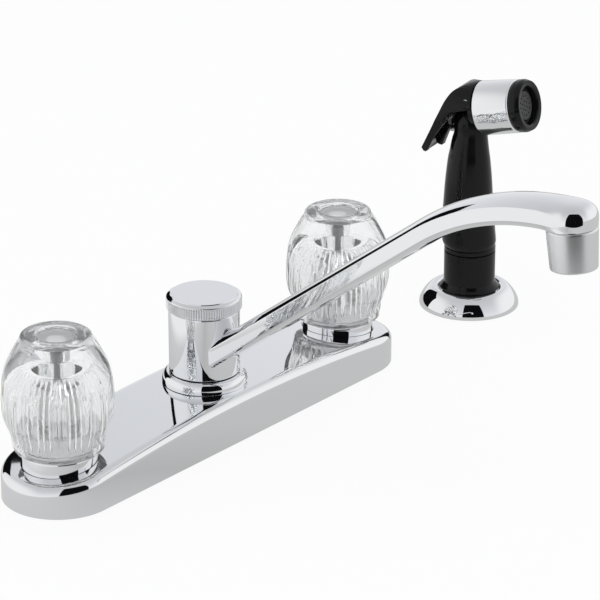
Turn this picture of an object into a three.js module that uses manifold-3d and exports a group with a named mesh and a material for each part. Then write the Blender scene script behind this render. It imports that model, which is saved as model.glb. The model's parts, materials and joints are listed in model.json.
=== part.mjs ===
// Two-handle kitchen faucet with a swinging spout and a side spray, in millimetres, +Z up.
// The origin is at deck level under the spout column. X runs along the deck plate, -Y faces the sink.
import * as THREE from 'three';
import { mergeVertices } from 'three/addons/utils/BufferGeometryUtils.js';
import Module from 'manifold-3d';

// ---------------------------------------------------------------- driving dimensions
const runningGap = 0.3;          // between pieces that move on each other
const seatGap = 0.05;            // between pieces that are screwed or pressed home

// deck plate: an arched stadium shell
const valveCentres = 203.2;      // hot to cold centre distance, the 8 inch standard
const plateWidth = 54;
const plateCrownZ = 23.1;         // top of the plate at the column
const plateArchRadius = 960;     // the top falls off towards both ends on this radius
const plateEdgeRadius = 4.5;     // rounded top edge
const plateWall = 2.2;
const gasketThickness = 2.5;

// brass waterway under the plate
const waterwayFloorZ = 2.8;
const crossTubeRadius = 4.5;
const crossTubeZ = 7.4;
const crossTubeBore = 2.6;
const chamberRadius = 13;
const chamberTopZ = 14;
const chamberBore = 9.6;
const chamberFloorZ = 6;
const shankRadius = 10.3;        // half inch pipe thread
const shankBore = 6.2;
const shankLength = 42;          // below the deck
const nippleRadius = 6.6;        // hose nipple under the column
const nippleBore = 3.5;
const nippleLength = 20;

// fasteners under the deck
const deckThickness = 9;         // counter that the nuts are drawn up against
const washerThickness = 1.6;
const washerRadius = 19;
const nutAcrossFlats = 32;
const nutHeight = 8;
const nutFlangeRadius = 18.5;

// valve trim and handles
const collarRadius = 17.6;
const collarTopZ = 23.5;
const bonnetRadius = 14.65;
const bonnetTopZ = 36.5;
const seatRadius = 8.9;
const seatHeight = 2.8;
const stemRadius = 5.1;
const stemFootRadius = 9.2;
const stemFootTopZ = 16;
const splineRadius = 4.5;
const splineCount = 12;
const splineFromZ = 38;
const stemTopZ = 56;
const gripLength = 5;            // bonnet's bearing on the stem

const knobBottomZ = 24.2;
const knobHeight = 55.6;
const knobPetals = 12;
const petalDepth = 0.9;
const petalFromZ = 29;           // petals start
const petalWideZ = 45;           // petals are at full width up to here
const petalTipZ = 61;            // and close in a pointed arch here
const knobCavityRadius = 16.8;
const knobCavityTopZ = 61.5;
const knobFlutes = 24;           // ribs down the inside of the wall
const fluteDepth = 0.9;
const fluteFromZ = 27.5;
const knobBossRadius = 7.6;      // round the stem
const knobBossFromZ = 41;
const buttonRadius = 9.6;
const buttonThickness = 3.4;
const buttonFloorZ = 75;
const screwHeadRadius = 3.9;
const screwHeadHeight = 3.5;
const screwSeatZ = 66;
const screwShankRadius = 1.65;
const screwTipZ = 50;

// spout column and hub
const columnRadius = 16.94;
const columnBore = 13.3;
const hubRingRadius = 20.4;
const hubRingHeight = 5.2;
const hubRingShoulder = 17.8;
const columnTopZ = 60.2;
const capKnurlRadius = 18;
const capKnurlDepth = 0.6;
const capKnurlTeeth = 92;
const capKnurlTopZ = 66.2;
const capTopZ = 67.6;
const capNeckRadius = 10;
const capNeckTopZ = 65;
const hubBore = 6.5;
const hubRootRadius = 12;
const hubRootZ = 12;
const hubBodyRadius = 15.4;
const hubBodyTopZ = 22.2;
const hubBoreTopZ = 56.2;
const hubPortRadius = 3;
const hubPortZ = 47.5;
const oringSection = 1;
const oringGrooveRadius = 11;
const oringLevels = [32, 55];
const diverterLength = 14;
const diverterFloorZ = 30;

// spout arm: the creased edge of its near side runs straight, then bends level
const spoutReach = 207.4;        // column axis to outlet axis, where the crease has come level
const armRise = 36.95;           // degrees, of the straight stretch
const armRootZ = 35.65;          // the crease meets the column axis here
const armBendRadius = 128.7;
const armHalfWidth = 11.65;
const armDome = 3.3;
const armSide = 6.2;             // flat side below the crease
const armDepth = 8.1;            // crease to underside
const armUnderside = 9.7;        // half width of the flat underside
const noseReach = 11.2;          // outlet axis to tip
const noseDepth = 9.1;           // crease level to underside
const noseShoulder = 5;          // the crease is rolled down this far round the nose
const noseFullness = 2.6;        // 2 is an elliptical dome, more is fuller
const noseRollFrom = 22;         // the crease starts to roll this far before the outlet
const outletSeat = 8.3;          // crease level to the aerator's seat
const outletTilt = 5.4;          // degrees, the stream leans away from the column
const outletBore = 9.2;
const outletDepth = 6;

const aeratorTopRadius = 11.37;
const aeratorBottomRadius = 10.48;
const aeratorHeight = 18.2;
const aeratorWall = 1.5;
const aeratorInsertHeight = 9;
const aeratorLip = 1;

// side spray
const sprayX = 203;
const sprayY = -7;
const sprayHeading = -80;        // degrees, where the nozzle points
const flangeRadius = 25.9;
const flangeTopZ = 10.4;
const flangeThroat = 14.9;
const flangeWall = 2.4;
const guideRadius = 14.4;
const guideBore = 10.5;
const guideLength = 36;
const guideTopZ = 5;
const collarSkirtRadius = 15.4;
const collarBodyRadius = 13.3;
const collarSkirtZ = 9.9;
const collarTopSprayZ = 29.8;
const collarHoseBore = 7.5;
const handleFromZ = 32.6;
const handleLean = 1.5;          // the grip sits this far behind the swivel axis
const headZ = 106.7;             // head axis crosses the swivel axis here
const headTilt = 12.4;           // degrees upwards
const headRadius = 14;
const shellFrom = 6.6;           // along the head axis
const shellTo = 26.6;
const shellWall = 1.2;
const nozzleTo = 32.9;
const nozzleRimRadius = 12.8;
const nozzleFloorRadius = 10.3;
const nozzleDepth = 4.1;
const sprayFaceRadius = 7.4;
const sprayFaceStep = 1.3;
const sprayHoles = 12;
const sprayHoleRadius = 0.6;
const leverHalfWidth = 13.4;
const leverTipHalfWidth = 8.6;
const leverWall = 2.3;
const leverPinS = 1.6;           // pivot, in front of the swivel axis
const leverPinZ = 113.6;
const leverPinRadius = 1.6;
const leverPinSeat = 0.9;        // the pin reaches this far into each cheek
const leverRimGap = 0.6;         // behind the shell, which the lever tips towards when it is pulled
const plungerZ = 94.5;
const plungerRadius = 1.8;
const plungerTipS = -12.3;       // end of the valve plunger, just short of the lever's rib
const plungerLength = 7.8;

// facets of round pieces
const shownFacets = 24;
const hiddenFacets = 12;
const smallFacets = 8;

// ---------------------------------------------------------------- solids
const wasm = await Module();
wasm.setup();

const radians = THREE.MathUtils.degToRad;

// Closed geometry with position only, its faces turned outwards.
function weld(geometry) {
  const bare = geometry.clone();
  bare.deleteAttribute('normal');
  bare.deleteAttribute('uv');
  const welded = mergeVertices(bare, 1e-4);
  const index = Array.from(welded.index.array);
  const kept = [];
  let volume = 0;
  const [a, b, c] = [new THREE.Vector3(), new THREE.Vector3(), new THREE.Vector3()];
  for (let i = 0; i < index.length; i += 3) {
    const [p, q, r] = index.slice(i, i + 3);
    if (p === q || q === r || r === p) continue;
    kept.push(p, q, r);
    a.fromBufferAttribute(welded.attributes.position, p);
    b.fromBufferAttribute(welded.attributes.position, q);
    c.fromBufferAttribute(welded.attributes.position, r);
    volume += a.dot(b.cross(c));
  }
  welded.setIndex(volume < 0 ? kept.reverse() : kept);
  return welded;
}

function solid(geometry) {
  const welded = weld(geometry);
  const vertProperties = new Float32Array(welded.attributes.position.array);
  const triVerts = new Uint32Array(welded.index.array);
  return new wasm.Manifold(new wasm.Mesh({ numProp: 3, vertProperties, triVerts }));
}

function geometryOf(manifold) {
  const mesh = manifold.getMesh();
  const geometry = new THREE.BufferGeometry();
  geometry.setAttribute('position', new THREE.BufferAttribute(mesh.vertProperties, 3));
  geometry.setIndex(new THREE.BufferAttribute(mesh.triVerts, 1));
  return geometry;
}

// Revolve [radius, height] points about Z. The outline closes on itself or on the axis.
function revolve(outline, segments = shownFacets) {
  const first = outline[0];
  const last = outline[outline.length - 1];
  const closed = first[0] === 0 && last[0] === 0 ? outline : [...outline, first];
  const points = closed.map(([r, z]) => new THREE.Vector2(r, z));
  return solid(new THREE.LatheGeometry(points, segments).rotateX(Math.PI / 2));
}

function cylinder(radius, fromZ, toZ, segments = hiddenFacets) {
  return revolve([[0, fromZ], [radius, fromZ], [radius, toZ], [0, toZ]], segments);
}

function tube(radius, bore, fromZ, toZ, segments = hiddenFacets) {
  return revolve([[bore, fromZ], [radius, fromZ], [radius, toZ], [bore, toZ]], segments);
}

function torus(radius, section, z, segments = hiddenFacets) {
  const ring = [];
  const sides = 6;
  for (let i = 0; i < sides; i += 1) {
    const angle = (i / sides) * 2 * Math.PI;
    ring.push([radius + section * Math.cos(angle), z + section * Math.sin(angle)]);
  }
  return revolve(ring, segments);
}

// Quarter arc of [radius, height] points about a centre, from one angle to another in degrees.
function arc(centreR, centreZ, radius, from, to, steps = 5) {
  const points = [];
  for (let i = 0; i <= steps; i += 1) {
    const angle = radians(from + ((to - from) * i) / steps);
    points.push([centreR + radius * Math.cos(angle), centreZ + radius * Math.sin(angle)]);
  }
  return points;
}

// Skin through rings with equal counts of points. Both ends are closed by a fan, or by
// closeEnd(ring, start) where a ring is long and not flat.
function loft(rings, closeEnd) {
  const count = rings[0].length;
  const points = rings.flat();
  const faces = [];
  for (let k = 0; k + 1 < rings.length; k += 1) {
    for (let i = 0; i < count; i += 1) {
      const j = (i + 1) % count;
      const [a, b, c, d] = [k * count + i, k * count + j, (k + 1) * count + j, (k + 1) * count + i];
      faces.push(a, b, c, a, c, d);
    }
  }
  const close = (start, flip) => {
    const ring = points.slice(start, start + count);
    const middle = ring.reduce((sum, p) => sum.add(p), new THREE.Vector3()).divideScalar(count);
    const hub = points.push(middle) - 1;
    for (let i = 0; i < count; i += 1) {
      const j = (i + 1) % count;
      faces.push(hub, start + (flip ? j : i), start + (flip ? i : j));
    }
  };
  const closeAcross = (start, flip) => {
    for (let i = 0; i < count / 2; i += 1) {
      const [a, b] = [start + i, start + i + 1];
      const [c, d] = [start + ((count - i - 1) % count), start + ((count - i) % count)];
      const quad = flip ? [a, c, b, a, d, c] : [a, b, c, a, c, d];
      faces.push(...quad);
    }
  };
  const cap = closeEnd === 'across' ? closeAcross : close;
  cap(0, true);
  cap((rings.length - 1) * count, false);
  const geometry = new THREE.BufferGeometry().setFromPoints(points);
  geometry.setIndex(faces);
  return solid(geometry);
}

// Prism of an outline drawn in a plane, pushed out along that plane's normal.
function prism(outline, depth, place = (geometry) => geometry) {
  const shape = new THREE.Shape(outline.map(([x, y]) => new THREE.Vector2(x, y)));
  return solid(place(new THREE.ExtrudeGeometry(shape, { depth, bevelEnabled: false })));
}

function polygon(corners, radiusOf, turn = 0) {
  const outline = [];
  for (let i = 0; i < corners; i += 1) {
    const angle = (i / corners) * 2 * Math.PI + turn;
    outline.push([radiusOf(i) * Math.cos(angle), radiusOf(i) * Math.sin(angle)]);
  }
  return outline;
}

const finishes = {
  chrome: { color: 0xd8dade, roughness: 0.06, metalness: 1 },
  brass: { color: 0xb08d4f, roughness: 0.35, metalness: 1 },
  steel: { color: 0xa8a8a4, roughness: 0.3, metalness: 1 },
  clear: { color: 0xeef2f4, roughness: 0.04, metalness: 0, transparent: true, opacity: 0.45 },
  black: { color: 0x1b1c1c, roughness: 0.22, metalness: 0 },
  rubber: { color: 0x202020, roughness: 0.8, metalness: 0 },
  nylon: { color: 0xd9d6cc, roughness: 0.5, metalness: 0 },
};

const faucet = new THREE.Group();

function add(name, finish, manifold, parent = faucet) {
  const mesh = new THREE.Mesh(geometryOf(manifold), new THREE.MeshStandardMaterial(finishes[finish]));
  mesh.name = name;
  parent.add(mesh);
  return mesh;
}

// ---------------------------------------------------------------- deck plate
const valveX = valveCentres / 2;
const plateRadius = plateWidth / 2;

function plateTop(x) {
  return plateCrownZ - (x * x) / (2 * plateArchRadius);
}

// Stadium outline, counter-clockwise from its +X end, the same forwards and back across X.
function stadium(radius) {
  const turnSteps = 14;
  const sideSteps = 8;
  const outline = [];
  for (let i = 0; i <= turnSteps / 2; i += 1) {
    const angle = (i / turnSteps) * Math.PI;
    outline.push([valveX + radius * Math.cos(angle), radius * Math.sin(angle)]);
  }
  for (let i = 1; i <= sideSteps; i += 1) {
    outline.push([valveX - (valveCentres * i) / sideSteps, radius]);
  }
  for (let i = 1; i <= turnSteps / 2; i += 1) {
    const angle = Math.PI / 2 + (i / turnSteps) * Math.PI;
    outline.push([-valveX + radius * Math.cos(angle), radius * Math.sin(angle)]);
  }
  const mirrored = outline.slice(1, -1).reverse().map(([x, y]) => [x, -y]);
  return [...outline, ...mirrored];
}

// Solid under the arched top: an upright wall, then a rounded edge.
function archedBlock(radius, drop, edge, baseZ, edgeSteps) {
  const rings = [];
  const ring = (inset, below) => stadium(radius - inset).map(([x, y]) => (
    new THREE.Vector3(x, y, plateTop(x) - drop - below)));
  rings.push(stadium(radius).map(([x, y]) => new THREE.Vector3(x, y, baseZ)));
  for (let i = 0; i <= edgeSteps; i += 1) {
    const angle = (i / edgeSteps) * (Math.PI / 2);
    rings.push(ring(edge * (1 - Math.cos(angle)), edge * (1 - Math.sin(angle))));
  }
  return loft(rings, 'across');
}

function deckPlate() {
  const outside = archedBlock(plateRadius, 0, plateEdgeRadius, 0, 3);
  const inside = archedBlock(plateRadius - plateWall, plateWall, plateEdgeRadius - plateWall, -1, 1);
  let plate = outside.subtract(inside);
  for (const side of [-1, 1]) {
    const hole = cylinder(collarRadius + runningGap, 5, plateCrownZ + 1, shownFacets);
    plate = plate.subtract(hole.translate([side * valveX, 0, 0]));
  }
  return plate.subtract(cylinder(hubBodyRadius + runningGap, 5, plateCrownZ + 1, hiddenFacets));
}

function deckGasket() {
  const outline = stadium(plateRadius - plateWall - runningGap);
  let gasket = prism(outline, gasketThickness);
  for (const side of [-1, 1]) {
    const hole = cylinder(shankRadius + runningGap, -1, gasketThickness + 1, shownFacets);
    gasket = gasket.subtract(hole.translate([side * valveX, 0, 0]));
  }
  return gasket.subtract(cylinder(nippleRadius + runningGap, -1, gasketThickness + 1));
}

// ---------------------------------------------------------------- waterway casting
function waterway() {
  const hub = cylinder(hubBodyRadius, waterwayFloorZ, hubBodyTopZ);
  const nipple = cylinder(nippleRadius, -nippleLength, waterwayFloorZ + 1, smallFacets);
  const along = (radius, length) => cylinder(radius, -length / 2, length / 2, smallFacets)
    .rotate([0, 90, 0]).translate([0, 0, crossTubeZ]);
  let body = hub.add(nipple).add(along(crossTubeRadius, valveCentres));
  for (const side of [-1, 1]) {
    const chamber = cylinder(chamberRadius, waterwayFloorZ, chamberTopZ)
      .add(cylinder(shankRadius, -shankLength, waterwayFloorZ + 1, shownFacets));
    body = body.add(chamber.translate([side * valveX, 0, 0]));
  }
  for (const side of [-1, 1]) {
    const cavity = cylinder(chamberBore, chamberFloorZ, chamberTopZ + 1)
      .add(cylinder(shankBore, -shankLength - 1, chamberFloorZ + 1, smallFacets));
    body = body.subtract(cavity.translate([side * valveX, 0, 0]));
  }
  body = body.subtract(along(crossTubeBore, valveCentres - chamberBore));
  const socket = cylinder(hubRootRadius + seatGap, hubRootZ - seatGap, hubBodyTopZ + 1);
  return body.subtract(socket).subtract(cylinder(nippleBore, -nippleLength - 1, hubRootZ + 1, smallFacets));
}

// Flanged hexagon nut with its top face at topZ, open in the middle for the thread.
function flangedNut(threadRadius, topZ) {
  const hexRadius = nutAcrossFlats / 2 / Math.cos(Math.PI / 6);
  const hex = prism(polygon(6, () => hexRadius), nutHeight).translate([0, 0, topZ - nutHeight]);
  const flange = cylinder(nutFlangeRadius, topZ - nutHeight / 3, topZ);
  const bore = cylinder(threadRadius + seatGap, topZ - nutHeight - 1, topZ + 1, shownFacets);
  return hex.add(flange).subtract(bore);
}

function deckWasher(threadRadius) {
  const floorZ = -deckThickness - washerThickness;
  return tube(washerRadius, threadRadius + runningGap, floorZ, -deckThickness, shownFacets);
}

// ---------------------------------------------------------------- valve and handle
function valveCollar() {
  const edge = 1.5;
  const floorZ = crossTubeZ + crossTubeRadius + runningGap;
  return revolve([
    [chamberRadius + runningGap, floorZ],
    [collarRadius, floorZ],
    ...arc(collarRadius - edge, collarTopZ - edge, edge, 0, 90, 3),
    [chamberRadius + runningGap, collarTopZ],
  ]);
}

function bonnet() {
  const edge = 1.2;
  const skirt = chamberRadius - seatGap;
  return revolve([
    [chamberBore, chamberTopZ],
    [skirt, chamberTopZ],
    [skirt, collarTopZ],
    [bonnetRadius, collarTopZ],
    ...arc(bonnetRadius - edge, bonnetTopZ - edge, edge, 0, 90, 3),
    [stemRadius + runningGap, bonnetTopZ],
    [stemRadius + runningGap, bonnetTopZ - gripLength],
    [chamberBore, bonnetTopZ - 1.6 * gripLength],
  ]);
}

function valveSeat() {
  return tube(seatRadius, crossTubeBore, chamberFloorZ, chamberFloorZ + seatHeight);
}

function valveStem() {
  const footZ = chamberFloorZ + seatHeight + runningGap;
  const body = revolve([
    [0, footZ],
    [stemFootRadius, footZ],
    [stemFootRadius, stemFootTopZ],
    [stemRadius, stemFootTopZ + 3],
    [stemRadius, splineFromZ],
    [0, splineFromZ],
  ], hiddenFacets);
  const teeth = polygon(splineCount * 2, (i) => splineRadius - (i % 2) * 0.6);
  const spline = prism(teeth, stemTopZ - splineFromZ + 1).translate([0, 0, splineFromZ - 1]);
  const tapped = cylinder(screwShankRadius + runningGap, screwTipZ - 1, stemTopZ + 1, smallFacets);
  return body.add(spline).subtract(tapped);
}

// Smooth outline of the knob, as height above its lower rim against radius.
const knobProfile = new THREE.SplineCurve([
  [20.7, 0], [21.9, 7], [24.9, 15.5], [25.7, 25], [24.2, 38], [20.4, 46.8], [16.6, 53.6],
].map(([r, z]) => new THREE.Vector2(r, z)));

function knobRadius(height) {
  let [low, high] = [0, 1];
  for (let i = 0; i < 30; i += 1) {
    const middle = (low + high) / 2;
    if (knobProfile.getPoint(middle).y < height) low = middle;
    else high = middle;
  }
  return knobProfile.getPoint(low).x;
}

// Inside of the wall, as [share of the fluted height, share of the cavity's radius].
const cavityShape = [[0.05, 1], [0.4, 1.02], [0.7, 0.95], [0.88, 0.8], [1, 0.6]];

// How far the petals are scooped in at an angle and height: none on their ridges.
function petalScoop(angle, z) {
  const pitch = (2 * Math.PI) / knobPetals;
  const fromMiddle = Math.abs(angle - pitch * Math.round(angle / pitch));
  const rise = Math.max(0, (z - petalWideZ) / (petalTipZ - petalWideZ));
  const start = Math.min(1, Math.max(0, (z - petalFromZ) / 4));
  const halfWidth = (pitch / 2) * Math.sqrt(Math.max(0, 1 - rise * rise));
  if (fromMiddle >= halfWidth) return 0;
  return petalDepth * start * (1 - (fromMiddle / (pitch / 2)) ** 2) * Math.min(1, halfWidth / pitch * 2);
}

function knob() {
  const segments = knobFlutes * 2;
  const ringAt = (z, radiusOf) => polygon(segments, radiusOf).map(([x, y]) => new THREE.Vector3(x, y, z));
  const angleOf = (i) => (i / segments) * 2 * Math.PI;
  const shoulder = 53.6;
  const levels = [0, 1.2, 7, 14, 20.5, 28, 33, 36.8, 45, shoulder];
  const outer = levels.map((height) => {
    const z = knobBottomZ + height;
    const rim = height === 0 ? 0.6 : 0;
    return ringAt(z, (i) => knobRadius(height) - rim - petalScoop(angleOf(i), z));
  });
  const edge = knobHeight - shoulder;
  for (const angle of [45, 90].map(radians)) {
    const radius = knobRadius(shoulder) - edge * (1 - Math.cos(angle));
    outer.push(ringAt(knobBottomZ + shoulder + edge * Math.sin(angle), () => radius));
  }
  const cavity = [knobBottomZ - 1, fluteFromZ].map((z) => ringAt(z, () => knobCavityRadius));
  for (const [share, narrowing] of cavityShape) {
    const z = fluteFromZ + share * (knobCavityTopZ - fluteFromZ);
    cavity.push(ringAt(z, (i) => knobCavityRadius * narrowing - fluteDepth * (i % 2)));
  }
  const boss = cylinder(knobBossRadius, knobBossFromZ, knobCavityTopZ + 1, shownFacets);
  const stemBore = cylinder(splineRadius + runningGap, knobBossFromZ - 1, stemTopZ + 1, shownFacets);
  const screwBore = cylinder(screwShankRadius + runningGap, stemTopZ, screwSeatZ + 1, smallFacets);
  const screwWell = cylinder(screwHeadRadius + runningGap, screwSeatZ, buttonFloorZ + 1, smallFacets);
  const buttonWell = cylinder(buttonRadius + runningGap, buttonFloorZ, knobBottomZ + knobHeight + 1);
  return loft(outer).subtract(loft(cavity)).add(boss).subtract(stemBore).subtract(screwBore)
    .subtract(screwWell).subtract(buttonWell);
}

function indexButton() {
  const edge = 0.8;
  const topZ = buttonFloorZ + buttonThickness;
  return revolve([
    [0, buttonFloorZ],
    [buttonRadius, buttonFloorZ],
    ...arc(buttonRadius - edge, topZ - edge, edge, 0, 90, 2),
    [0, topZ],
  ], hiddenFacets);
}

function handleScrew() {
  const head = revolve([
    [0, screwTipZ],
    [screwShankRadius, screwTipZ],
    [screwShankRadius, screwSeatZ],
    [screwHeadRadius, screwSeatZ],
    [screwHeadRadius, screwSeatZ + screwHeadHeight - 0.8],
    [screwHeadRadius - 1, screwSeatZ + screwHeadHeight],
    [0, screwSeatZ + screwHeadHeight],
  ], smallFacets);
  const arm = (turn) => solid(new THREE.BoxGeometry(4.6, 0.9, 3)).rotate([0, 0, turn])
    .translate([0, 0, screwSeatZ + screwHeadHeight]);
  return head.subtract(arm(0)).subtract(arm(90));
}

// ---------------------------------------------------------------- column and spout
function hubRing() {
  const flankZ = plateCrownZ + 0.9;
  const topZ = plateCrownZ + hubRingHeight;
  const flank = new THREE.EllipseCurve(
    hubRingShoulder,
    flankZ,
    hubRingRadius - hubRingShoulder,
    topZ - flankZ,
    0,
    Math.PI / 2,
  );
  return revolve([
    [hubBodyRadius - 1, plateCrownZ],
    [hubRingRadius, plateCrownZ],
    ...flank.getPoints(5).map((p) => [p.x, p.y]),
    [hubBodyRadius - 1, topZ],
  ]);
}

function hubPost() {
  const postRadius = columnBore - runningGap;
  const half = oringSection + 0.2;
  const outline = [[hubBore, hubRootZ], [hubRootRadius, hubRootZ], [hubRootRadius, hubBodyTopZ]];
  outline.push([postRadius, hubBodyTopZ]);
  for (const z of oringLevels) {
    outline.push([postRadius, z - half], [oringGrooveRadius, z - half]);
    outline.push([oringGrooveRadius, z + half], [postRadius, z + half]);
  }
  outline.push([postRadius, columnTopZ], [capNeckRadius, columnTopZ], [capNeckRadius, capNeckTopZ]);
  outline.push([0, capNeckTopZ], [0, hubBoreTopZ], [hubBore, hubBoreTopZ]);
  let post = revolve(outline, hiddenFacets);
  for (const turn of [0, 60, 120]) {
    const port = cylinder(hubPortRadius, -columnRadius, columnRadius, smallFacets)
      .rotate([90, 0, 0]).rotate([0, 0, turn]);
    post = post.subtract(port.translate([0, 0, hubPortZ]));
  }
  return post;
}

function spoutCap() {
  const edge = 1.4;
  const underZ = columnTopZ + runningGap;
  const teeth = polygon(capKnurlTeeth * 2, (i) => capKnurlRadius - (i % 2) * capKnurlDepth);
  const knurl = prism(teeth, capKnurlTopZ - underZ).translate([0, 0, underZ]);
  const crown = revolve([
    [0, underZ],
    [capKnurlRadius - capKnurlDepth, underZ],
    [capKnurlRadius - capKnurlDepth, capKnurlTopZ],
    ...arc(capKnurlRadius - capKnurlDepth - edge, capTopZ - edge, edge, 10, 90, 3),
    [0, capTopZ],
  ]);
  const neck = cylinder(capNeckRadius + seatGap, underZ - 1, capNeckTopZ + seatGap);
  return knurl.add(crown).subtract(neck);
}

function diverterPiston() {
  const radius = hubBore - runningGap;
  return revolve([
    [0, diverterFloorZ],
    [radius - 2, diverterFloorZ],
    [radius, diverterFloorZ + 2],
    [radius, diverterFloorZ + 5],
    [radius - 2, diverterFloorZ + 6.5],
    [radius - 2, diverterFloorZ + diverterLength],
    [0, diverterFloorZ + diverterLength],
  ], smallFacets);
}

// The arm climbs straight, then bends level over the outlet.
const armStraight = spoutReach - armBendRadius * Math.sin(radians(armRise));
const noseLevelZ = armRootZ + armStraight * Math.tan(radians(armRise))
  + armBendRadius * (1 - Math.cos(radians(armRise)));
const noseFloorZ = noseLevelZ - outletSeat;

// Half of the arm's section from the crown round to the underside, as [across, up] from the crease.
// roll goes from 0, a flat dome over a sharp crease, to 1, a full round shoulder.
function armHalfSection(halfWidth, crown, depth, roll) {
  const { lerp } = THREE.MathUtils;
  const half = [];
  const domeSteps = 6;
  const rise = Math.max(crown, 0.05);
  const domeRadius = (halfWidth ** 2 + rise ** 2) / (2 * rise);
  for (let i = 0; i <= domeSteps; i += 1) {
    const angle = (i / domeSteps) * (Math.PI / 2);
    const across = halfWidth * Math.sin(angle);
    const up = Math.sqrt(domeRadius ** 2 - across ** 2) - domeRadius + crown;
    const fullAcross = halfWidth * Math.sin(angle) ** (2 / noseFullness);
    const fullUp = (crown + noseShoulder) * Math.cos(angle) ** (2 / noseFullness) - noseShoulder;
    half.push([lerp(across, fullAcross, roll), lerp(up, fullUp, roll)]);
  }
  const flat = halfWidth * 0.985;
  const under = halfWidth * lerp(armUnderside / armHalfWidth, 0.985, roll);
  half.push([flat, -armSide], [(2 * flat + under) / 3, -(armSide + depth) / 2], [under, -depth]);
  return half;
}

function armSection(place, ...sizes) {
  const half = armHalfSection(...sizes);
  const left = half.slice(1).reverse().map(([x, y]) => [-x, y]);
  return [...left, ...half].map(([x, y]) => place(x, y));
}

function spoutArm() {
  const rings = [];
  const station = (y, z, rise, halfWidth, crown) => {
    const place = (across, up) => (
      new THREE.Vector3(across, -(y - up * Math.sin(rise)), z + up * Math.cos(rise)));
    const bent = THREE.MathUtils.clamp((y - armStraight) / (spoutReach - armStraight), 0, 1);
    const depth = armDepth + (noseDepth - armDepth) * bent ** 2;
    const roll = THREE.MathUtils.smoothstep(y, spoutReach - noseRollFrom, spoutReach);
    rings.push(armSection(place, halfWidth, crown, depth, roll));
  };
  const rise = radians(armRise);
  for (const y of [4, armStraight / 2, armStraight]) {
    station(y, armRootZ + y * Math.tan(rise), rise, armHalfWidth, armDome);
  }
  const bendSteps = 11;
  for (let i = 1; i <= bendSteps; i += 1) {
    const angle = rise * (1 - i / bendSteps);
    const y = spoutReach - armBendRadius * Math.sin(angle);
    station(y, noseLevelZ - armBendRadius * (1 - Math.cos(angle)), angle, armHalfWidth, armDome);
  }
  const noseSteps = 6;
  const noseTurn = 84;
  for (let i = 1; i <= noseSteps; i += 1) {
    const turn = radians((i / noseSteps) * noseTurn);
    const fall = (1 - Math.sin(turn) ** noseFullness) ** (1 / noseFullness);
    const crown = (armDome + noseShoulder) * fall - noseShoulder;
    station(spoutReach + noseReach * Math.sin(turn), noseLevelZ, 0, armHalfWidth * Math.cos(turn), crown);
  }
  return loft(rings);
}

// Put a solid that is built about the Z axis onto the leaning outlet axis.
function atOutlet(manifold) {
  return manifold.translate([0, 0, -noseFloorZ]).rotate([-outletTilt, 0, 0])
    .translate([0, -spoutReach, noseFloorZ]);
}

function spout() {
  const barrelEdge = 0.8;
  const barrelFloor = plateCrownZ + hubRingHeight + runningGap;
  const barrel = revolve([
    [0, barrelFloor],
    [columnRadius - barrelEdge, barrelFloor],
    [columnRadius, barrelFloor + barrelEdge],
    [columnRadius, columnTopZ - barrelEdge],
    [columnRadius - barrelEdge, columnTopZ],
    [0, columnTopZ],
  ]);
  const seat = atOutlet(cylinder(armHalfWidth + 1, noseFloorZ - outletDepth, noseFloorZ, shownFacets));
  const outlet = atOutlet(cylinder(outletBore, noseFloorZ - 1, noseFloorZ + outletDepth, shownFacets));
  const bore = cylinder(columnBore, barrelFloor - 1, columnTopZ + 1, shownFacets);
  return barrel.add(spoutArm()).subtract(bore).subtract(seat).subtract(outlet);
}

function aeratorShell() {
  const top = noseFloorZ - runningGap;
  const bottom = top - aeratorHeight;
  const neck = outletBore - runningGap;
  return atOutlet(revolve([
    [neck - aeratorWall, top + outletDepth - 1],
    [neck - aeratorWall, bottom + aeratorInsertHeight + 3],
    [aeratorBottomRadius - aeratorWall, bottom + aeratorInsertHeight + 1.5],
    [aeratorBottomRadius - aeratorWall, bottom],
    [aeratorBottomRadius - 0.5, bottom],
    [aeratorBottomRadius, bottom + 0.6],
    [aeratorTopRadius, top - 0.8],
    [aeratorTopRadius - 0.6, top],
    [neck, top],
    [neck, top + outletDepth - 1],
  ]));
}

function aeratorInsert() {
  const bottom = noseFloorZ - runningGap - aeratorHeight + aeratorLip;
  const radius = aeratorBottomRadius - aeratorWall - seatGap;
  let insert = cylinder(radius, bottom, bottom + aeratorInsertHeight - 1);
  const pocketDepth = 2.5;
  for (const [count, ring] of [[6, radius * 0.36], [10, radius * 0.72]]) {
    for (let i = 0; i < count; i += 1) {
      const angle = (i / count) * 2 * Math.PI;
      const hole = cylinder(1, bottom - 1, bottom + pocketDepth, 4);
      insert = insert.subtract(hole.translate([ring * Math.cos(angle), ring * Math.sin(angle), 0]));
    }
  }
  return atOutlet(insert);
}

// ---------------------------------------------------------------- side spray
const spray = new THREE.Group();
spray.position.set(sprayX, sprayY, 0);
spray.rotation.z = radians(sprayHeading);
faucet.add(spray);

function sprayFlange() {
  const crestRadius = 18.5;
  const rimZ = 1.4;
  const point = (r, z) => new THREE.Vector2(r, z);
  const crown = new THREE.CubicBezierCurve(
    point(flangeRadius, rimZ),
    point(flangeRadius, rimZ + 2),
    point(flangeRadius - 3.9, flangeTopZ - 0.4),
    point(crestRadius, flangeTopZ),
  );
  const inside = [
    [crestRadius - 1.6, flangeTopZ - 0.3],
    [flangeThroat + 0.6, flangeTopZ - 1.6],
    [flangeThroat, flangeTopZ - 2.4],
    [flangeThroat, flangeTopZ - 5],
    [flangeRadius - 5.6, flangeTopZ - 5.4],
    [flangeRadius - flangeWall, rimZ],
    [flangeRadius - flangeWall, 0],
  ];
  return revolve([[flangeRadius, 0], ...crown.getPoints(7).map((p) => [p.x, p.y]), ...inside]);
}

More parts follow.
